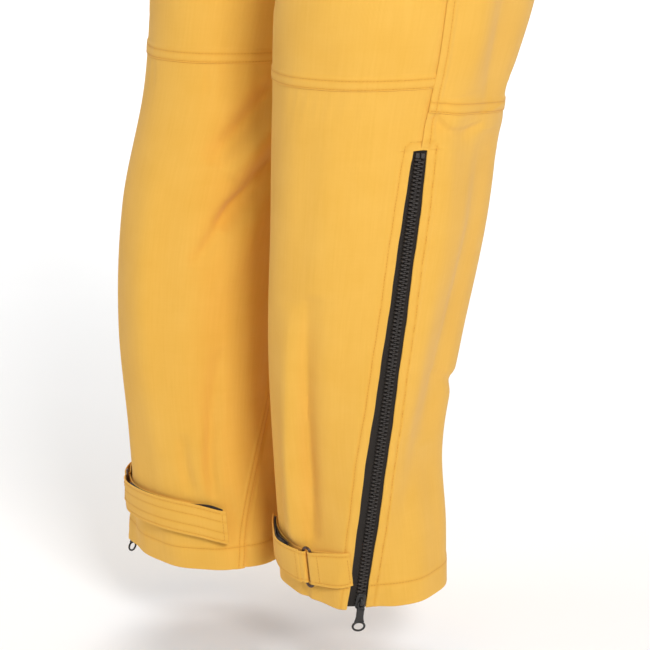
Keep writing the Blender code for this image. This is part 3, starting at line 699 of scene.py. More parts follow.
def stitch_line(points, normals):
    """Beads laid at equal steps along a line of points with a normal at each."""
    along = np.concatenate([[0], np.linalg.norm(np.diff(points, axis=0), axis=1).cumsum()])
    places = (np.arange(int(along[-1] / STITCH_PITCH)) + 0.5) * STITCH_PITCH
    middle = np.stack([np.interp(places, along, points[:, k]) for k in range(3)], -1)
    up = unit(np.stack([np.interp(places, along, normals[:, k]) for k in range(3)], -1))
    behind = np.stack([np.interp(places - STITCH_PITCH / 2, along, points[:, k]) for k in range(3)], -1)
    before = np.stack([np.interp(places + STITCH_PITCH / 2, along, points[:, k]) for k in range(3)], -1)
    ahead = unit(before - behind)
    across = np.cross(up, ahead)
    axes = np.stack([ahead, across, np.cross(ahead, across)], 1)
    grid = middle[:, None] + BEAD_POINTS @ axes
    faces = BEAD_FACES + len(BEAD_POINTS) * np.arange(len(places))[:, None, None]
    return grid.reshape(-1, 3), faces.reshape(-1, 4)


def sew(name, lines, body):
    """One piece of thread work from several lines of stitches."""
    points, faces = join([stitch_line(*line) for line in lines])
    return put(name, points, faces, thread, body)


# %% [markdown]
# ## Cloth panels
#
# A panel is a four-sided patch: u runs round the leg between two edges and v runs up it. The rows
# and columns lie close together near the edges, where the seams are. Where one panel laps over the
# next it stands a cloth's thickness proud, and each row of stitches presses a groove into it.

# %% The panel class
THIN = 0.0012
GROOVE = 0.0004
GROOVE_WIDTH = 0.0014
LAP_SLOPE = 0.004
ALLOWANCE = 0.012
ABOVE_ZIP = 0.92


def shares(length, edge, fine=0.0013, coarse=0.0036):
    """Places from 0 to 1 along a length: a fine step within edge of both ends, a coarse one between."""
    near = np.arange(0, edge, fine)
    middle = np.linspace(edge, length - edge, max(3, round((length - 2 * edge) / coarse)))
    return np.concatenate([near, middle, length - near[::-1]]) / length


class Panel:
    """A patch of one leg's cloth. foot and head give its ends' heights for u, turns its edges' turns
    for a height, and seams says for each edge how proud its lap is, how wide, and where its stitch
    lines lie, in metres from the edge. way is -1 in front of the zip, 1 behind it and 0 away from
    it: a panel beside the zip has a zip seam, which follows the window and replaces its own side's
    seam as far up as the window's head."""

    def __init__(self, side, foot, head, turns, seams, puff=None, way=0):
        self.side, self.foot, self.head, self.turns = side, foot, head, turns
        self.seams, self.puff, self.way = seams, puff, way

    def place(self, u, v):
        """Height and turn of a point of the patch, and the turns of the panel's two edges there."""
        height = self.foot(u) + v * (self.head(u) - self.foot(u))
        start, end = self.turns(height)
        return height, start + u * (end - start), start, end

    def edges(self, u, v):
        """Distances in metres to the start, end, foot and head edges."""
        height, turn, start, end = self.place(u, v)
        rate = arc_rate(self.side, height, turn)
        far = {"start": (turn - start) * rate, "end": (end - turn) * rate,
               "foot": height - self.foot(u), "head": self.head(u) - height}
        if "zip" in self.seams:
            off = np.abs(turn - outseam(self.side, height)) * rate - window_gap(height, self.way)
            far["zip"] = np.hypot(off.clip(0), (height - WINDOW_HEAD).clip(0))
        return far

    def lift(self, u, v):
        """Proud laps, less the stitches' grooves, plus the fine puckers that a tight thread makes."""
        far = self.edges(u, v)
        total = self.puff(u, self.place(u, v)[0]) if self.puff else 0 * far["foot"]
        run = {"start": far["foot"], "end": far["foot"], "zip": far["foot"], "foot": far["start"],
               "head": far["start"]}
        above = smooth(far["foot"], WINDOW_HEAD + 0.001, WINDOW_HEAD + 0.006) if self.way else 1
        for edge, (rise, width, lines) in self.seams.items():
            shown = above if self.way and edge == ("start", "end")[self.way < 0] else 1
            total = total + shown * rise * (1 - smooth(far[edge], width, width + LAP_SLOPE))
            for line in lines:
                total = total - shown * GROOVE * bell(far[edge] - line, GROOVE_WIDTH)
            if lines:
                wobble = np.sin(570 * run[edge]) + np.sin(353 * run[edge] + 1.0)
                total = total + 0.00011 * wobble * bell(far[edge] - lines[-1], 0.008)
        return total

    def at(self, u, v, extra=0.0):
        """Points on the panel's outer face, lifted by extra."""
        height, turn, _, _ = self.place(u, v)
        return cloth(self.side, height, turn, self.lift(u, v) + extra)

    def painted_seam_shade(self, u, v):
        """Painted shade beside the stitch lines: how close a point is to a stitch line, from 0 to 1."""
        far = self.edges(u, v)
        zip_side = ("start", "end")[self.way < 0] if self.way else None
        close = [bell(far[edge] - line, 0.0013) * (far["foot"] > WINDOW_HEAD if edge == zip_side else 1)
                 for edge, (_, _, lines) in self.seams.items() for line in lines]
        return np.clip(sum(close), 0, 1) if close else 0 * far["foot"]

    def stitch_lines(self):
        """A line of points and normals for each row of stitches."""
        found = []
        for edge, (_, _, lines) in self.seams.items():
            for line in () if edge == "zip" else lines:
                beside_zip = self.way and edge == ("start", "end")[self.way < 0]
                t = np.linspace(ABOVE_ZIP if beside_zip else 0.004, 0.996, 260)
                u, v = (0 * t, t) if edge in ("start", "end") else (t, 0 * t)
                size = sum(self.edges(u, v)[k] for k in (("start", "end") if v is t else ("foot", "head")))
                share = line / size if edge in ("start", "foot") else 1 - line / size
                u, v = (share, t) if v is t else (t, share)
                points = self.at(u, v)
                height, turn, _, _ = self.place(u, v)
                normals = on_leg(self.side, height, turn, 0.001) - on_leg(self.side, height, turn, 0.0)
                found.append((points, unit(normals)))
        return found

    def grids(self, us, vs, thick):
        """Outer and inner grids, the cloth's own flat coordinates and the painted seam shade."""
        u, v = np.meshgrid(us, vs)
        height, turn, start, end = self.place(u, v)
        uv = np.stack([UNROLL * turn, height], -1)
        return self.at(u, v), self.at(u, v, -thick), uv, self.painted_seam_shade(u, v)

    def size(self, allowance):
        """Cut width, cut length and cut area of the flat panel, with its seam allowances."""
        u, v = np.meshgrid(np.linspace(0, 1, 41), np.linspace(0, 1, 61))
        far = self.edges(u, v)
        width = (far["start"] + far["end"])[:, 20] + 2 * allowance
        length = (far["foot"] + far["head"])[30] + 2 * allowance
        return float(width.max()), float(length.max()), float(width.mean() * length.mean())


def make_panel(name, panel, body="trousers", thick=THIN, rows=None, allowance=ALLOWANCE):
    """The panel's mesh and its thread."""
    width, length, area = panel.size(allowance)
    vs = shares(length, min(0.028, length / 4)) if rows is None else rows
    # The seam value is painted shade in the creases beside the stitch lines.
    outer, inner, uv, seam_shade = panel.grids(shares(width, 0.016), vs, thick)
    points, faces, rim = shell(outer, inner)
    uv, seam_shade = uv.reshape(-1, 2), seam_shade.ravel()
    piece = put(name, points, faces, canvas, body, (name,),
                np.concatenate([uv, uv, uv[rim]]), np.concatenate([seam_shade, seam_shade, seam_shade[rim]]))
    lines = panel.stitch_lines()
    threads = [sew(f"{name}_stitching", lines, body)] if lines else []
    print(f"{name}: {len(faces)} faces, cut {width:.3f} by {length:.3f} m, {area:.4f} m2")
    return piece, threads


# %% [markdown]
# ## Legs, front and back
#
# The front of each leg laps over the back along the inseam, the back laps over the front along the
# outseam, and the thigh laps over the shin at the knee. In the zip's length both panels end in a
# turned edge that leaves the tape and the teeth uncovered, and one row of stitches goes up one
# side of that window, across above the zip's head and down the other side.

# %% Leg panels
KNEE_FRONT_EDGE = 0.532
KNEE_TUCK = 0.012
SEAM_TUCK = 0.007
LEGS_PART = 0.775
MIDDLE_OVERLAP = 0.002
WINDOW_HEIGHTS = [0, 0.03, 0.08, 0.15, 0.25, 0.35, 0.45, ZIP_HEAD]
WINDOW_FRONT = 0.001 * np.array([13.6, 12.6, 13.2, 13.4, 11.4, 10.0, 8.4, 7.6])
WINDOW_BACK = 0.001 * np.array([6.6, 7.6, 8.8, 9.4, 9.4, 9.0, 8.0, 7.5])


def window_gap(height, way):
    """How far a panel's turned edge is from the zip's line, with a slight waver."""
    gap = through(WINDOW_HEIGHTS, WINDOW_FRONT if way < 0 else WINDOW_BACK, np.clip(height, 0, ZIP_HEAD))
    return gap + 0.0003 * np.sin(61 * height + 2 * way) + 0.00015 * np.sin(170 * height)


def beside_zip(side, height, across):
    """Turn at a distance across from the zip's line, and above the zip from the outseam."""
    seam = outseam(side, height)
    above = seam + across / arc_rate(side, height, seam)
    return np.where(height < ZIP_HEAD, zip_turn(side, height, across), above)


def beside_outseam(side, height, way, tuck):
    """Clear of the zip in its length; above it, tuck metres past the seam."""
    share = smooth(height, WINDOW_HEAD, WINDOW_HEAD + 0.0012)
    return beside_zip(side, height, way * window_gap(height, way) * (1 - share) + tuck * share)


def back_knee_edge(u):
    """The back knee seam's lower edge: it dips towards the middle of the back."""
    return 0.509 - 0.019 * np.sin(math.pi * u)


def level(height):
    """A straight edge at one height, as a function of u."""
    return lambda u: height + 0 * u


def front_turns(side):
    """From the inseam, or above the crotch the middle, to under the outseam's lap."""
    def turns(height):
        past = 0.0095 * smooth(height, FLY_FOOT - 0.006, FLY_FOOT) - MIDDLE_OVERLAP
        middle = middle_turn(side, height, past)
        start = np.where(height < LEGS_PART, inseam(height), np.maximum(inseam(height), middle))
        return start, beside_outseam(side, height, -1, SEAM_TUCK)
    return turns


def back_turns(side):
    """From the outseam to under the inseam's lap, or above the crotch to the middle of the seat."""
    def turns(height):
        tuck = SEAM_TUCK * (1 - smooth(height, CROTCH - 0.05, LEGS_PART))
        leg = inseam(height) + tuck / arc_rate(side, height, 0.0)
        middle = -middle_turn(side, height, -MIDDLE_OVERLAP)
        end = 2 * math.pi + np.where(height < LEGS_PART, leg, np.minimum(leg, middle))
        return beside_outseam(side, height, 1, 0.0), end
    return turns


HEM = (0.0007, 0.024, (0.0236,))
ZIP_STITCH = 0.0088
SHIN_BACK_LENGTH = 0.521
ZIP_EDGE = (0.0007, 0.011, (ZIP_STITCH,))
OVER = (0.0012, 0.0075, (0.0014, 0.0068))
OVER_KNEE = (0.0012, 0.0105, (0.0013, 0.0094))
OUT_EDGE = (0.0009, 0.0095, (0.0076,))
UNDER = (-0.0007, 0.009, ())
WINDOW_ROWS = np.array([-0.004, -0.0015, -0.0004, 0, 0.0004, 0.0008, 0.0012, 0.002, 0.0035])


def with_window_rows(length):
    """Row places for a shin panel: the usual ones, and close ones at the zip's head."""
    return np.unique(np.concatenate([shares(length, 0.028), (WINDOW_HEAD + WINDOW_ROWS) / length]))


def round_window(side):
    """Stitch lines up both sides of the zip's window and straight across above its head."""
    top = WINDOW_HEAD + ZIP_STITCH
    climb = np.linspace(0.002, top, 200)
    lines = [(climb, way * (window_gap(climb, way) + ZIP_STITCH)) for way in (-1, 1)]
    lines.append((np.full(40, top), np.linspace(lines[0][1][-1], lines[1][1][-1], 40)))
    found = []
    for height, across in lines:
        turn = beside_zip(side, height, across)
        low, high = (cloth(side, height, turn, 0.0003 + up) for up in (0.0, 0.001))
        found.append((low, unit(high - low)))
    return found


for word, side in SIDES.items():
    shin_top = KNEE_FRONT_EDGE + KNEE_TUCK
    back_top = (lambda u: back_knee_edge(u) + KNEE_TUCK)
    make_panel(f"{word}_shin_front",
               Panel(side, level(0.0), level(shin_top), front_turns(side),
                     {"start": OVER, "end": UNDER, "zip": ZIP_EDGE, "foot": HEM, "head": UNDER}, way=-1),
               rows=with_window_rows(shin_top))
    make_panel(f"{word}_shin_back",
               Panel(side, level(0.0), back_top, back_turns(side),
                     {"start": OUT_EDGE, "end": UNDER, "zip": ZIP_EDGE, "foot": HEM, "head": UNDER}, way=1),
               rows=with_window_rows(SHIN_BACK_LENGTH))
    sew(f"{word}_zip_stitching", round_window(side), "trousers")
    make_panel(f"{word}_thigh_front",
               Panel(side, level(KNEE_FRONT_EDGE), level(BAND_BOTTOM + 0.006), front_turns(side),
                     {"start": OVER, "end": UNDER, "foot": OVER_KNEE, "head": (0, 0.01, ())}))
    make_panel(f"{word}_thigh_back",
               Panel(side, back_knee_edge, level(BAND_BOTTOM + 0.006), back_turns(side),
                     {"start": OUT_EDGE, "end": (0.0, 0.008, (0.0016, 0.0080)), "foot": OVER_KNEE,
                      "head": (0, 0.01, ())}))
    print(word, "leg: panels and zip edge sewn")

# %% [markdown]
# ## Zips
#
# The leg zip is a moulded one: each tooth has a root on the tape, a narrow neck and a head that runs
# past the middle between two heads of the other row. One tooth is seven rings of six points, and a
# row is that array at every pitch. The tape is a flat ribbed band that goes on under the cloth.

# %% Teeth and tapes
TOOTH_PITCH = 0.004
TEETH_LOW, TEETH_HIGH = -0.0009, 0.0018
TAPE_OUT, TAPE_THICK = -0.0012, 0.001
TAPE_REACH = 0.0165
# Across the zip from its middle, half length along it and top, in millimetres, tip to root.
TOOTH = 0.001 * np.array([[-1.5, 0.5, 0.9], [-1.1, 0.85, 1.5], [0.2, 0.9, 1.8], [1.2, 0.6, 1.45],
                          [2.0, 1.15, 1.8], [4.0, 1.25, 1.75], [4.8, 1.0, 0.4]])


def tooth():
    """Seven rings of six points, chamfered along the top, each end closed by two faces."""
    across, half, top = TOOTH.T[:, :, None]
    along = half * [-1, -1, -0.55, 0.55, 1, 1]
    out = TEETH_LOW + (top - TEETH_LOW) * [0, 0.72, 1, 1, 0.72, 0]
    points = np.stack(np.broadcast_arrays(across, along, out), -1).reshape(-1, 3)
    index = np.arange(len(points)).reshape(-1, 6)
    ends = [[ring[0], ring[1], ring[2], ring[5]] for ring in (index[0], index[-1, ::-1])]
    ends += [[ring[2], ring[3], ring[4], ring[5]] for ring in (index[0],)]
    ends += [[ring[2], ring[3], ring[4], ring[5]] for ring in (index[-1, ::-1],)]
    return points, np.concatenate([quads(index, wrap_columns=True), ends])


TOOTH_POINTS, TOOTH_FACES = tooth()


def teeth(name, track, way, start, end):
    """A row of teeth on one side of the middle; the back row is half a pitch further on."""
    places = np.arange(start + TOOTH_PITCH * (0.4 if way < 0 else 0.9), end - 0.001, TOOTH_PITCH)
    grid = TOOTH_POINTS[None] * [way, 1, 1] + places[:, None, None] * [0, 1, 0]
    faces = TOOTH_FACES + len(TOOTH_POINTS) * np.arange(len(places))[:, None, None]
    return put(name, track.at(*grid.reshape(-1, 3).T), faces.reshape(-1, 4), zip_teeth, "trousers",
               (name,))


def tape(name, track, way, start, end):
    """A flat band under the teeth, with a low cord along its inner edge."""
    along, across = np.meshgrid(np.arange(start, end, 0.0025), np.linspace(0.0003, TAPE_REACH, 18),
                                indexing="ij")
    rise = 0.00012 * np.cos(2 * math.pi * across / 0.0022) * smooth(across, 0.004, 0.006)
    outer, inner = (track.at(way * across, along, TAPE_OUT + level) for level in (rise, -TAPE_THICK))
    points, faces, rim = shell(outer, inner)
    uv = np.stack([across, along], -1).reshape(-1, 2)
    return put(name, points, faces, zip_tape, "trousers", (name,),
               np.concatenate([uv, uv, uv[rim]]))


# %% [markdown]
# ## Plates, washers and turned discs
#
# The slider, the pull and the snap are small castings. A flat one is an outline at four levels,
# drawn in at the first and the last so that its edges are eased. An outline with a hole is the same
# idea carried round both edges, and a turned piece is a profile carried round its axis.


# %% Plates and turned pieces
def drawn_in(outline, amount):
    """An outline moved inwards, square to itself, by an amount."""
    ahead = unit(np.roll(outline, -1, 0) - np.roll(outline, 1, 0))
    return outline + amount * ahead[:, ::-1] * [-1, 1]


def oval(half_across, half_along, centre=0.0, taper=0.0, power=1.0, sides=36):
    """A closed outline, anticlockwise: an ellipse at power 1, squarer below it, wider at one end
    when it has a taper."""
    angle = np.arange(sides) * 2 * math.pi / sides
    x, y = np.cos(angle), np.sin(angle)
    x, y = np.sign(x) * np.abs(x) ** power, np.sign(y) * np.abs(y) ** power
    return np.stack([half_across * x * (1 + taper * y), centre + half_along * y], -1)


def plate(outline, low, high, ease=0.0003, dome=0.0):
    """An outline at four levels with a raised middle point on each face: local points and faces."""
    levels = [(low, ease), (low + ease, 0), (high - ease - dome, 0), (high - dome, ease)]
    rings = [np.column_stack([drawn_in(outline, inset), np.full(len(outline), level)])
             for level, inset in levels]
    middle = outline.mean(0)
    inner = np.column_stack([middle + 0.5 * (outline - middle), np.full(len(outline), high)])
    index = np.arange(5 * len(outline)).reshape(5, -1)
    ends = [[*middle, low], [*middle, high]]
    turn_on = np.roll(index, -1, 1)
    foot, head = index.size, index.size + 1
    fans = [np.stack([np.full(index.shape[1], foot), turn_on[0], index[0], index[0]], -1),
            np.stack([np.full(index.shape[1], head), index[-1], turn_on[-1], turn_on[-1]], -1)]
    faces = np.concatenate([quads(index, wrap_columns=True), *fans])
    return np.concatenate([*rings, inner, ends]), faces


def washer(outer, inner, low, high, ease=0.0003):
    """A flat ring between two outlines of the same number of points, with eased edges."""
    edge = [(outer, high, ease), (outer, high - ease, 0), (outer, low + ease, 0), (outer, low, ease),
            (inner, low, -ease), (inner, low + ease, 0), (inner, high - ease, 0), (inner, high, -ease)]
    rings = [np.column_stack([drawn_in(outline, inset), np.full(len(outline), level)])
             for outline, level, inset in edge]
    index = np.arange(8 * len(outer)).reshape(8, -1)
    return np.concatenate(rings), quads(index, wrap_rows=True, wrap_columns=True)


def turned(profile, sides=40):
    """A closed turned piece: the profile's rows are radius and out, and both ends run to the axis."""
    angle = np.arange(sides) * 2 * math.pi / sides
    radius, out = np.array(profile, float).T[:, :, None]
    rings = np.stack(np.broadcast_arrays(radius * np.cos(angle), radius * np.sin(angle), out), -1)
    index = np.arange(rings[..., 0].size).reshape(len(profile), sides)
    ends = [[0, 0, profile[0][1]], [0, 0, profile[-1][1]]]
    turn_on = np.roll(index, -1, 1)
    fans = [np.stack([np.full(sides, index.size), turn_on[0], index[0], index[0]], -1),
            np.stack([np.full(sides, index.size + 1), index[-1], turn_on[-1], turn_on[-1]], -1)]
    return (np.concatenate([rings.reshape(-1, 3), ends]),
            np.concatenate([quads(index, wrap_columns=True), *fans]))


# %% [markdown]
# ## Slider and pull
#
# The slider is two tapered plates, one each side of the teeth, with an arched bridge on the front
# one. Its wide end leads when the zip closes: towards the hem on the legs. The pull hangs from the
# bridge by an eye and ends in a wide oval ring that a gloved finger can find.

# %% Zip hardware
SLIDER_LENGTH = 0.017
PULL_AXIS_ALONG, PULL_AXIS_OUT = 0.0085, 0.0052
STOP_LENGTH = 0.005
TAPE_PAST_TEETH = 0.009


def slider(name, track, foot, body, lead):
    """Two plates, a post between them and the bridge, in millimetres along the track."""
    middle = foot + SLIDER_LENGTH / 2
    shape = oval(0.0052, SLIDER_LENGTH / 2, middle, 0.10 * lead, 0.45, 48)
    front = plate(shape, 0.0021, 0.0037, 0.0004, 0.0003)
    back = plate(shape, -0.0040, -0.0025, 0.0004)
    post = plate(oval(0.0005, 0.003, middle), -0.0026, 0.0022, 0.0001)
    parts = [(track.at(*points.T), faces) for points, faces in (front, back, post)]
    swing = np.linspace(0, math.pi, 17)
    along = middle - 0.0043 * np.cos(swing)
    out = 0.0030 + 0.0044 * np.sin(swing) ** 0.7
    centres = track.at(0 * along, along, out)
    ahead = unit(np.gradient(centres, axis=0))
    across = np.broadcast_to(track.across, ahead.shape)
    parts.append(tube(centres, across, np.cross(ahead, across), 0.0016, 0.0006, 10, False))
    points, faces = join(parts)
    return put(name, points, faces, zip_metal, body, (name,))


def pull(name, track, foot, body):
    """An eye, a neck that widens downwards, and an oval ring, hanging straight down."""
    axis = track.at(0.0, foot + PULL_AXIS_ALONG, PULL_AXIS_OUT)
    hang = Track(axis, axis + unit(np.array([0, 0, 1.0]) - track.across[2] * track.across), track.out)
    hang.across = track.across
    hang.out = unit(track.out - (track.out @ hang.along) * hang.along)
    thin = 0.0007
    eye = washer(oval(0.0040, 0.0046, -0.0037), oval(0.0022, 0.0026, -0.0033), -thin, thin)
    rise = np.linspace(-0.0218, -0.0068, 9)
    half = 0.0040 + 0.0014 * smooth(-rise, 0.016, 0.023) + 0.0003 * smooth(rise, -0.010, -0.007)
    neck = plate(np.concatenate([np.column_stack([half, rise]), np.column_stack([-half, rise])[::-1]]),
                 -thin, thin)
    ring = washer(oval(0.0073, 0.0057, -0.0263), oval(0.0051, 0.0036, -0.0264), -0.0008, 0.0008, 0.0004)
    points, faces = join([(hang.at(*points.T), faces) for points, faces in (eye, neck, ring)])
    return put(name, points, faces, zip_metal, body, (name,))


def stop(name, track, foot):
    """Two blocks, one on each tape, that the slider can't pass."""
    blocks = [plate(oval(0.0021, STOP_LENGTH / 2, foot + STOP_LENGTH / 2, 0, 0.35) + [way * 0.0026, 0],
                    TEETH_LOW, TEETH_HIGH, 0.0004) for way in (-1, 1)]
    points, faces = join([(track.at(*points.T), faces) for points, faces in blocks])
    return put(name, points, faces, zip_teeth, "trousers", (name,))


def at_x(x, height, lift, front=True):
    """Point on the front or the back of the hips at a distance x from the middle plane."""
    x, height, lift = np.broadcast_arrays(x, height, lift)
    halves = []
    for side in (1, -1):
        turn = middle_turn(side, height, np.abs(x))
        halves.append(on_leg(side, height, turn if front else 2 * math.pi - turn, lift))
    return np.where((x >= 0)[..., None], halves[0], halves[1])


def zip_set(word, track, foot, stop_foot, start, end, bodies, lead):
    """One whole zip: two rows of teeth, two tapes, the stop, the slider and its pull."""
    for name, way in (("front", -1), ("back", 1)):
        teeth(f"{word}_zip_teeth_{name}", track, way, start, end)
        tape(f"{word}_zip_tape_{name}", track, way, start, end + TAPE_PAST_TEETH)
    stop(f"{word}_zip_stop", track, stop_foot)
    slider(f"{word}_zip_slider", track, foot, bodies[0], lead)
    pull(f"{word}_zip_pull", track, foot, bodies[1])
    print(word, "zip:", int((end - start) / TOOTH_PITCH), "teeth in each row")


for word, side in SIDES.items():
    track = TRACKS[side]
    zip_set(f"{word}_leg", track, 0.0, track.length, 0.001, track.length,
            (f"{word}_leg_slider", f"{word}_leg_pull"), -1)

fly = Track(at_x(0.0, FLY_FOOT, -FLY_RECESS), at_x(0.0, FLY_HEAD, -FLY_RECESS), np.array([0, -1.0, 0]))
zip_set("fly", fly, fly.length - 0.018, 0.001, 0.007, fly.length - 0.0065, ("fly_slider", "fly_slider"), 1)

# %% [markdown]
# ## Ankle straps
#
# A strap is one band that is sewn to the leg, goes through the ring, turns back on itself and ends
# free over a strip of hooks. Each band is made from its path: turns round the leg and lifts off it,
# with half a circle where it goes round the ring's bar. Where the strap doesn't hold, it bulges,
# most along its upper edge, and a little of the black hook strip shows there.

# %% Bands
LOW_LAYER, BAR_LIFT, TOP_LAYER, LOOSE_LAYER = 0.0016, 0.0045, 0.0072, 0.0056
HOOK_LAYER, LOOP_LAYER = 0.0042, 0.0030
STRAP_THICK = 0.0012
RING_SPACING = 0.009
BAND_SHARES = np.concatenate([[-1, -0.985, -0.95], np.linspace(-0.9, 0.9, 25), [0.95, 0.985, 1]])


class Band:
    """A flat band along a path of turns in degrees and lifts. share runs from -1 at its lower edge
    to 1 at its upper edge, and out is measured from its middle layer."""

    def __init__(self, side, turns, lifts, width, thick=STRAP_THICK, shift=0.0, rows=()):
        self.side, self.width, self.thick, self.shift, self.rows = side, width, thick, shift, rows
        self.turns, self.lifts = np.radians(turns), np.asarray(lifts)
        self.middle = strap_middle(side, np.asarray(turns))
        self.rate = arc_rate(side, self.middle, self.turns)
        ahead = unit(np.stack([np.gradient(self.turns) * self.rate, np.gradient(self.lifts)], -1))
        self.face = ahead[:, ::-1] * [1, -1] * np.sign(turns[-2] - turns[-1])
        free = sum(rise * bell(turns - place, wide) for place, wide, rise in STRAPS[side]["stand_off"])
        self.free = free * smooth(self.lifts, LOW_LAYER, HOOK_LAYER)
        self.tilt = STRAPS[side]["tilt"]
        steps = np.hypot(np.gradient(self.turns) * self.rate, np.gradient(self.lifts))
        self.along = steps.cumsum() - steps[0]

    def at(self, share, out=0.0):
        """Points at a share of the band's width, out from its middle layer."""
        share = np.asarray(share, float)[..., None]
        groove = sum(bell((share - row) * self.width / 2, 0.0009) for row in self.rows)
        out = out - 0.0003 * groove * (np.asarray(out) > 0)
        height = self.middle + self.shift + share * self.width / 2
        lift = self.lifts + self.free * (1 + self.tilt * share) + out * self.face[:, 1]
        return on_leg(self.side, height, self.turns + out * self.face[:, 0] / self.rate, lift)

    def stitches(self, share, first=2, last=-2):
        """A line of stitches along the band at a share of its width."""
        return (self.at(share, self.thick / 2)[first:last],
                unit(self.at(share, self.thick) - self.at(share, 0.0))[first:last])

    def cross_stitches(self, column, inset=0.0028):
        """A line of stitches across the band."""
        shares = np.linspace(-1, 1, 24) * (1 - 2 * inset / self.width)
        return (self.at(shares, self.thick / 2)[:, column],
                unit(self.at(shares, self.thick) - self.at(shares, 0.0))[:, column])


def make_band(name, band, material, body, lines=(), nodes=None):
    """The band's mesh and its stitches."""
    outer, inner = band.at(BAND_SHARES, band.thick / 2), band.at(BAND_SHARES, -band.thick / 2)
    points, faces, rim = shell(outer, inner)
    place = np.meshgrid(band.along, BAND_SHARES * band.width / 2)
    uv = np.stack(place, -1).reshape(-1, 2)
    # Painted shade in the creases along the band's stitch rows.
    seam_shade = sum(bell((place[1] - row * band.width / 2), 0.0012) for row in band.rows) + 0 * place[0]
    seam_shade = seam_shade.ravel()
    piece = put(name, points, faces, material, body, (name,) if nodes is None else nodes,
                np.concatenate([uv, uv, uv[rim]]), np.concatenate([seam_shade, seam_shade, seam_shade[rim]]))
    return [piece] + ([sew(f"{name}_stitching", lines, body)] if lines else [])


def around_bar(bar, rate, way):
    """Half a circle round the ring's bar, from the low layer to the top one."""
    swing = np.radians(np.arange(-90, 91, 15))
    radius = (TOP_LAYER - LOW_LAYER) / 2
    return bar + way * np.degrees(radius * np.cos(swing) / rate), BAR_LIFT - 0.0001 + radius * np.sin(swing)


def steps(start, end, size=0.9):
    """Even steps from start to end, about a size apart."""
    return np.linspace(start, end, max(3, round(abs(end - start) / size) + 1))


# %% The straps, their rings and their hooks
EDGE = 1 - 2 * 0.0028 / STRAP_WIDTH


def ankle_strap(word, side):
    """The ring's tab, the strap sewn through the ring, its loose end, the two patches and the ring."""
    strap = STRAPS[side]
    rate = float(arc_rate(side, 0.045, math.radians(strap["ring"])))
    half = math.degrees(RING_SPACING / 2 / rate)
    middle = float(strap_middle(side, strap["ring"]))

    outer_bar = strap["ring"] + half
    edge = math.degrees(float(beside_zip(side, np.array(middle), -window_gap(middle, -1)))) - 0.3
    turn, lift = around_bar(outer_bar, rate, -1)
    ramp = steps(outer_bar, edge)[1:]
    down = smooth(ramp, outer_bar, edge)
    tab = Band(side, np.concatenate([ramp[::-1], turn, ramp]),
               np.concatenate([np.full(len(ramp), LOW_LAYER), lift, TOP_LAYER + (0.0030 - TOP_LAYER) * down]),
               STRAP_WIDTH - 0.001, rows=(-EDGE, EDGE))
    low_end = len(ramp) + len(turn)
    lines = [tab.stitches(share, low_end + 1, -1) for share in (-EDGE, EDGE)]
    lines += [tab.cross_stitches(column) for column in (low_end + 5, -3)]
    make_band(f"{word}_ring_tab", tab, canvas, "trousers", lines)

    inner_bar = strap["ring"] - half
    stub_end = inner_bar - 4.5
    turn, lift = around_bar(inner_bar, rate, 1)
    run = steps(inner_bar, strap["sewn_end"])[1:]
    stub = steps(inner_bar, stub_end, 0.7)[1:]
    sewn = Band(side, np.concatenate([run[::-1], turn, stub]),
                np.concatenate([np.full(len(run), LOW_LAYER), lift, np.full(len(stub), TOP_LAYER)]),
                STRAP_WIDTH - 0.002, rows=(-EDGE, EDGE))
    lines = [sewn.stitches(share, len(run) + len(turn)) for share in (-EDGE, EDGE)]
    make_band(f"{word}_strap_sewn", sewn, canvas, "trousers", lines)

    hinge = stub_end - 0.4
    turns = steps(hinge + 2.6, strap["loose_end"], 0.8)
    lifts = LOOSE_LAYER + (TOP_LAYER - LOOSE_LAYER) * (1 - smooth(hinge - turns, 0, 12))
    rows = (-EDGE, *strap["rows"], EDGE)
    loose = Band(side, turns, lifts + 0.0003, STRAP_WIDTH, 0.0015, rows=rows)
    lines = [loose.stitches(share) for share in rows]
    lines += [loose.cross_stitches(column) for column in (3, -4)]
    pieces = make_band(f"{word}_strap_end", loose, canvas, None, lines)
    height = float(strap_middle(side, hinge))
    start, end = (on_leg(side, height, math.radians(hinge - back), TOP_LAYER) for back in (0.0, 8.0))
    for piece in pieces:
        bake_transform(piece)

    turns = steps(hinge - 9, strap["loose_end"] + 1.6)
    peek = sum(rise * bell(turns - place, wide) for place, wide, rise in strap["peeks"])
    for kind, layer, body, shift in (("hook", HOOK_LAYER, f"{word}_loose_strap", 0.0006 + peek),
                                     ("loop", LOOP_LAYER, "trousers", 0.0002 + 0.6 * peek)):
        patch = Band(side, turns, np.full(turns.shape, layer), 0.033, 0.0008, shift)
        make_band(f"{word}_{kind}_patch", patch, hook_and_loop, body)

    swing = np.radians(np.linspace(0, 180, 19))
    cap = np.stack([RING_SPACING / 2 * np.cos(swing), 0.0150 + 0.0064 * np.sin(swing)], -1)
    bar = np.stack([np.full(11, -RING_SPACING / 2), np.linspace(0.0125, -0.0125, 11)], -1)
    loop = np.concatenate([cap, bar, -cap, -bar])
    turns = math.radians(strap["ring"]) + loop[:, 0] / rate
    centres = on_leg(side, strap_middle(side, np.degrees(turns)) + loop[:, 1], turns, BAR_LIFT)
    face = on_ellipse(side, middle, math.radians(strap["ring"]))[1]
    ahead = unit(np.roll(centres, -1, 0) - np.roll(centres, 1, 0))
    points, faces = tube(centres, np.cross(ahead, face), np.broadcast_to(face, ahead.shape), 0.0016, 0.0013)
    put(f"{word}_ankle_ring", points, faces, ring_plastic, "trousers",
        (f"{word}_ankle_ring",))


for word, side in SIDES.items():
    ankle_strap(word, side)
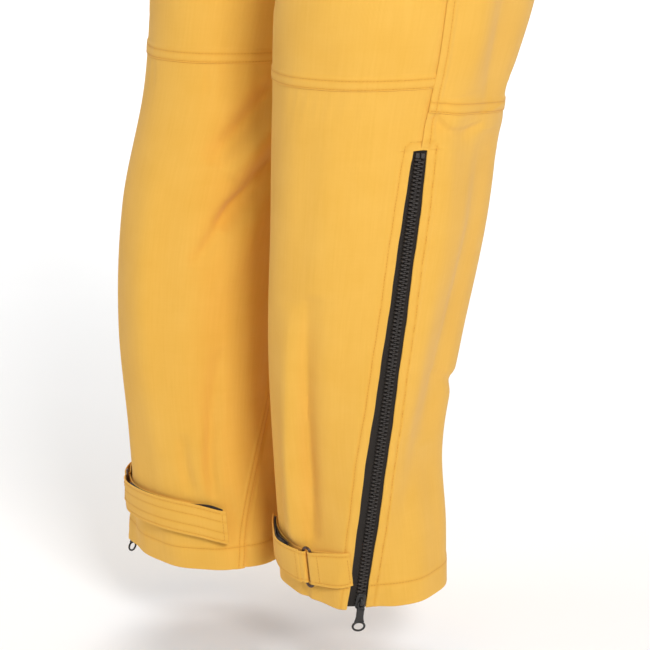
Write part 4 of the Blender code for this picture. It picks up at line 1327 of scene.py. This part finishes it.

# %% [markdown]
# ## Thigh pockets
#
# Each thigh has a bellows pocket under a flap. The bag is a panel that swells off the leg between
# its stitched edges, and the flap is one that clears the bag and is sewn along its head.

# %% Pockets
POCKET_TURN, POCKET_HALF_ANGLE = math.radians(172), math.radians(34)
POCKET_FOOT, POCKET_MOUTH, POCKET_SWELL = 0.655, 0.815, 0.016
FLAP_FOOT, FLAP_HEAD = 0.795, 0.868
DOUBLE = (0.0, 0.01, (0.0016, 0.0078))


def swell(u):
    """0 at both edges of a pocket and 1 in the middle."""
    return np.sqrt(np.clip(np.sin(math.pi * u), 0, 1))


def pocket_turns(margin):
    """The pocket's two side edges, set wider by a margin in degrees."""
    half = POCKET_HALF_ANGLE + math.radians(margin)
    return lambda height: (POCKET_TURN - half + 0 * height, POCKET_TURN + half + 0 * height)


def bag_puff(u, height):
    """How far the bag swells off the leg, with a slight sag."""
    sag = 0.0016 * np.sin(23 * u + 41 * height) * np.sin(math.pi * u)
    return 0.0014 + (0.0021 + POCKET_SWELL * swell(u) + sag) * smooth(height, POCKET_FOOT, POCKET_FOOT + 0.05)


def flap_puff(u, height):
    """How far the flap stands off, so that it clears the bag."""
    over_bag = 0.0038 + (POCKET_SWELL + 0.003) * swell(u)
    return 0.0016 + smooth(FLAP_HEAD - height, 0.004, 0.028) * over_bag


def flap_foot(u):
    """Straight, with a corner cut off at each end."""
    return FLAP_FOOT + 0.014 * (1 - smooth(np.minimum(u, 1 - u), 0, 0.13))


for word, side in SIDES.items():
    bag = Panel(side, level(POCKET_FOOT), level(POCKET_MOUTH), pocket_turns(0.0),
                {"start": DOUBLE, "end": DOUBLE, "foot": DOUBLE, "head": (0.0006, 0.02, (0.0185,))},
                puff=bag_puff)
    make_panel(f"{word}_pocket_bag", bag)
    flap = Panel(side, flap_foot, level(FLAP_HEAD), pocket_turns(2.0),
                 {"start": DOUBLE, "end": DOUBLE, "foot": DOUBLE, "head": DOUBLE}, puff=flap_puff)
    piece, threads = make_panel(f"{word}_pocket_flap", flap, None, 0.0018)
    start, end = (on_leg(side, FLAP_HEAD - below, POCKET_TURN, 0.0035) for below in (0.003, 0.026))
    for soft in [piece, *threads]:
        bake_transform(soft)

# %% [markdown]
# ## Waistband and belt loops
#
# The front of the waistband is flat doubled canvas. The back is canvas over elastic, which gathers
# it into close upright ridges. The seven belt loops are narrow folded straps that stand clear of
# the band, with a bar tack at each foot.

# %% Waistband
BAND_LIFT, BAND_THICK = 0.0015, 0.0035
SIDE_TURN = math.pi
GATHER = 0.0076

for word, side in SIDES.items():
    edges = (lambda height, side=side: (middle_turn(side, height, 0.0006), SIDE_TURN + 0.004 + 0 * height))
    band = Panel(side, level(BAND_BOTTOM + 0.0003), level(WAIST_HEIGHT), edges,
                 {"foot": (0.0, 0.01, (0.0018,)), "head": (0.0, 0.01, (0.0022,)),
                  "start": (0.0, 0.01, (0.0022,))}, puff=lambda u, height: BAND_LIFT + 0 * u)
    make_panel(f"waistband_{word}", band, thick=BAND_THICK, allowance=0.002)


def back_band(v, fan, out):
    """The elastic length: upright ridges a gather apart, flattest at its ends and its edges."""
    height = BAND_BOTTOM + 0.0003 + v * (WAIST_HEIGHT - BAND_BOTTOM - 0.0003)
    middle = 2 * math.pi - middle_turn(1, height, 0.0)
    turn = SIDE_TURN + (1 - np.abs(fan)) * (middle - SIDE_TURN)
    along = UNROLL * 2.15 * fan
    ridge = np.sin(2 * math.pi * along / GATHER + 1.3 * np.sin(31 * along) + 0.5 * np.sin(5 * v))
    calm = (1 - smooth(np.abs(fan), 0.93, 1.0)) * (0.45 + 0.55 * np.sin(math.pi * v))
    grooves = sum(bell(v - row, 0.035) for row in BACK_ROWS)
    lift = BAND_LIFT + out + 0.0011 * calm * (ridge - 0.1) * (1 - 0.5 * grooves)
    halves = [on_leg(side, height, turn, lift) for side in (1, -1)]
    return np.where((fan >= 0)[..., None], halves[0], halves[1])


BACK_ROWS = (0.06, 0.35, 0.65, 0.94)
fan, v = np.meshgrid(np.linspace(-1, 1, 521), shares(0.04, 0.006, 0.001, 0.002))
outer, inner = back_band(v, fan, 0.0), back_band(v, fan, -BAND_THICK)
points, faces, rim = shell(outer, inner)
uv = np.stack([UNROLL * 2.15 * fan, 0.04 * v], -1).reshape(-1, 2)
# Painted shade in the creases along the back band's stitch rows.
seam_shade = sum(bell(v - row, 0.03) for row in BACK_ROWS).ravel()
elastic = put("waistband_back", points, faces, canvas, "trousers", ("waistband_back",),
              np.concatenate([uv, uv, uv[rim]]), np.concatenate([seam_shade, seam_shade, seam_shade[rim]]))
line = np.linspace(-0.995, 0.995, 900)
lines = [(back_band(row + 0 * line, line, 0.0002),
          unit(back_band(row + 0 * line, line, 0.001) - back_band(row + 0 * line, line, 0.0)))
         for row in BACK_ROWS]
sew("waistband_back_stitching", lines, "trousers")


# %% Belt loops
def plane_at(point, outward):
    """An upright track that stands on a point, facing outward."""
    return Track(point, point + unit(np.array([0, 0, 1.0]) - outward[2] * outward), outward)


def lean(above, below, normal):
    """Outward direction square to the cloth's own slope."""
    slope = unit(above - below)
    return unit(normal - (normal @ slope) * slope)


LOOP_HALF, LOOP_RISE, LOOP_THICK = 0.0183, 0.0066, 0.0014


def belt_loop(name, point, outward):
    """A strap 12 mm wide that bows out from two feet; its lift is a smooth step of the distance
    from its middle, with a slight crown across it."""
    track = plane_at(point, outward)
    up, across = np.meshgrid(np.linspace(-LOOP_HALF, LOOP_HALF, 45), np.linspace(-0.006, 0.006, 13),
                             indexing="ij")
    out = 0.0021 + LOOP_RISE * (1 - smooth(np.abs(up), 0.0100, 0.0160))
    out = out + 0.0002 * (1 - (across / 0.006) ** 2) - 0.0003 * bell(np.abs(across) - 0.0042, 0.0007)
    points, faces, rim = shell(track.at(across, up, out), track.at(across, up, out - LOOP_THICK))
    uv = np.stack([across, up], -1).reshape(-1, 2)
    # Painted shade in the creases along the loop's two stitch lines.
    seam_shade = bell(np.abs(across) - 0.0042, 0.0010).ravel()
    put(name, points, faces, canvas, "trousers", (name,),
        np.concatenate([uv, uv, uv[rim]]), np.concatenate([seam_shade, seam_shade, seam_shade[rim]]))
    lines = []
    for x in (-0.0042, 0.0042):
        run = np.linspace(-LOOP_HALF, LOOP_HALF, 60)[3:-3]
        rise = 0.0021 + LOOP_RISE * (1 - smooth(np.abs(run), 0.0100, 0.0160))
        lines.append((track.at(x, run, rise), np.broadcast_to(track.out, (len(run), 3))))
    for y in (-0.0172, -0.0160, 0.0160, 0.0172):
        run = np.linspace(-0.0052, 0.0052, 12)
        lines.append((track.at(run, y, 0.0024), np.broadcast_to(track.out, (12, 3))))
    sew(f"{name}_stitching", lines, "trousers")


LOOP_TURNS = {"front": 125, "side": 180, "rear": 228}
for word, side in SIDES.items():
    for place, degrees in LOOP_TURNS.items():
        turn = math.radians(degrees)
        low, middle, high = (on_leg(side, h, turn, 0.001) for h in (1.022, 1.04, 1.058))
        belt_loop(f"belt_loop_{word}_{place}", middle, lean(high, low, on_ellipse(side, 1.04, turn)[1]))
low, middle, high = (at_x(0.0, h, 0.001, False) * [0, 1, 1] for h in (1.022, 1.04, 1.058))
belt_loop("belt_loop_back", middle, lean(high, low, np.array([0, 1.0, 0])))
print("belt loops:", 1 + 2 * len(LOOP_TURNS))

# %% [markdown]
# ## Fly and waist tab
#
# The fly's zip is covered by a flap that is sewn along the wearer's left and laps to the right. The
# waist closes with a tab over it that has a snap at its tip. Both are patches that reach across the
# middle, given by a distance from the middle plane and a height.


# %% Flaps across the front
def front_patch(name, hinge_x, tip_x, low, high, lift, thick, rows, bend_to):
    """A flap from hinge_x to tip_x. low and high give its edges for x, and rows is how far in from
    its edges its stitches lie."""
    length, width = hinge_x - tip_x, float(high(hinge_x) - low(hinge_x))
    u, v = np.meshgrid(shares(length, 0.008, 0.001, 0.002), shares(width, 0.008, 0.001, 0.0025))
    x = hinge_x - u * length
    height = low(x) + v * (high(x) - low(x))
    inside = np.stack([hinge_x - x, x - tip_x, height - low(x), high(x) - height]).min(0)
    groove = sum(bell(inside - row, 0.0011) for row in rows)
    outer = at_x(x, height, lift(x) - 0.0004 * groove)
    inner = at_x(x, height, lift(x) - thick)
    points, faces, rim = shell(outer, inner)
    # Painted shade in the stitch grooves of the flap.
    uv, seam_shade = np.stack([x, height], -1).reshape(-1, 2), np.clip(groove, 0, 1).ravel()
    piece = put(name, points, faces, canvas, None, (name,),
                np.concatenate([uv, uv, uv[rim]]), np.concatenate([seam_shade, seam_shade, seam_shade[rim]]))
    t, lines = np.linspace(0, 1, 120), []
    for row in rows:
        run = hinge_x - row - t * (length - 2 * row)
        climb = low(tip_x + row) + row + t * (high(tip_x + row) - low(tip_x + row) - 2 * row)
        across = [(run, low(run) + row), (run, high(run) - row)]
        hinge_climb = low(hinge_x) + row + t * (width - 2 * row)
        across += [(0 * t + tip_x + row, climb), (0 * t + hinge_x - row, hinge_climb)]
        for run_x, run_height in across:
            on = at_x(run_x, run_height, lift(run_x))
            lines.append((on, unit(at_x(run_x, run_height, lift(run_x) + 0.001) - on)))
    thread_work = sew(f"{name}_stitching", lines, None)
    middle = (low(hinge_x) + high(hinge_x)) / 2
    for soft in (piece, thread_work):
        at_x(hinge_x - 0.002, middle, 0.0)
        at_x(bend_to, middle, 0.0)
        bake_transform(soft)
    print(f"{name}: {length:.3f} by {width:.3f} m")


def rounded(x, tip_x, radius):
    """How far an edge turns in near a tip, as a quarter circle of the radius does."""
    reach = np.clip((tip_x + radius - x) / radius, 0, 1)
    return radius * (1 - np.sqrt(1 - reach ** 2 * 0.98))


front_patch("fly_flap", 0.034, -0.013, lambda x: 0.866 + rounded(x, -0.013, 0.016), lambda x: 1.014 + 0 * x,
            lambda x: 0.0020 + 0.0087 * (1 - smooth(x, 0.010, 0.034)), 0.0016, (0.0018, 0.0082),
            0.018)
front_patch("waist_tab", 0.045, -0.022, lambda x: 1.022 + rounded(x, -0.022, 0.009),
            lambda x: 1.058 - rounded(x, -0.022, 0.009),
            lambda x: 0.0034 + 0.0033 * (1 - smooth(x, 0.012, 0.045)), 0.0018, (0.0018,),
            0.031)

SNAP_X = -0.011
low, middle, high = (at_x(SNAP_X, h, 0.001) for h in (1.03, 1.04, 1.05))
normal = on_ellipse(-1, 1.04, float(middle_turn(-1, 1.04, abs(SNAP_X))))[1]
snap = plane_at(middle, lean(high, low, normal))
cap = [(0.0066, 0.0058), (0.0075, 0.0061), (0.0075, 0.0068), (0.0068, 0.0075), (0.0052, 0.0079),
       (0.0043, 0.0076), (0.0034, 0.0081), (0.0015, 0.0083)]
stud = [(0.0045, 0.0006), (0.0045, 0.0011), (0.0030, 0.0013), (0.0026, 0.0019), (0.0030, 0.0023),
        (0.0020, 0.0026)]
for name, profile, body in (("waist_snap_cap", cap, "waist_closure"), ("waist_snap_stud", stud, "trousers")):
    points, faces = turned(profile)
    put(name, snap.at(*points.T), faces, snap_brass, body, (name,))

# %% [markdown]
# ## Stage and light
#
# The floor is a wide pale sweep that curves up behind, so that this camera sees no horizon. A soft
# lamp on the wearer's left lights the side with the zip, which leaves the other leg in shade. A
# weaker one fills from the wearer's right, a third lights the sweep, and a white world softens all.

# %% Stage
FLOOR = -1.16
SWEEP_RADIUS = 3.0
PALE = (0.93, 0.93, 0.93, 1)

sweep_recipe = Recipe("floor", Roughness=0.95, Specular_IOR_Level=0.1)
speck = sweep_recipe.noise(sweep_recipe.object_place(), 3, 2)
floor_material = sweep_recipe.finish(sweep_recipe.blend(speck, PALE, (0.90, 0.90, 0.90, 1)))
angle = np.concatenate([[0], np.linspace(0, math.pi / 2, 25)])
distance = np.concatenate([[-30.0], 2.5 + SWEEP_RADIUS * np.sin(angle[1:])])
rise = FLOOR + SWEEP_RADIUS * (1 - np.cos(angle))
width = np.linspace(-30, 30, 3)
floor_grid = np.stack(np.broadcast_arrays(width[None, :], distance[:, None], rise[:, None]), -1)
away = np.array([[math.cos(VIEW_TURN), math.sin(VIEW_TURN), 0], [-math.sin(VIEW_TURN),
                                                                 math.cos(VIEW_TURN), 0], [0, 0, 1]])
floor_mesh = bpy.data.meshes.new("floor")
floor_mesh.from_pydata((floor_grid.reshape(-1, 3) @ away).tolist(), [],
                       quads(np.arange(floor_grid.size // 3).reshape(-1, 3)).tolist())
floor_mesh.shade_smooth()
floor_mesh.materials.append(floor_material)
floor = bpy.data.objects.new("floor", floor_mesh)
bpy.context.scene.collection.objects.link(floor)


# %% Lights
def lamp(name, place, aim, size, watts):
    """A square soft lamp at a place, turned to face the aim."""
    made = bpy.data.objects.new(name, bpy.data.lights.new(name, "AREA"))
    made.data.size, made.data.energy = size, watts
    made.location = place
    made.rotation_mode = "QUATERNION"
    made.rotation_quaternion = (made.location - bpy.data.objects["camera"].location.__class__(aim)
                                ).to_track_quat("Z", "Y")
    bpy.context.scene.collection.objects.link(made)


AIM = (0.02, -0.05, -0.70)
lamp("key", (2.9, -1.0, 1.2), AIM, 1.0, 80)
lamp("fill", (-1.9, -2.9, 0.7), AIM, 1.4, 24)
lamp("backdrop", (-2.2, 1.7, 2.6), (-2.4, 1.9, -1.2), 3.0, 130)
world = bpy.data.worlds.new("studio")
world.use_nodes = True
world.node_tree.nodes["Background"].inputs["Color"].default_value = (1, 1, 1, 1)
world.node_tree.nodes["Background"].inputs["Strength"].default_value = 0.33
bpy.context.scene.world = world
bpy.context.scene.view_settings.view_transform = "Standard"
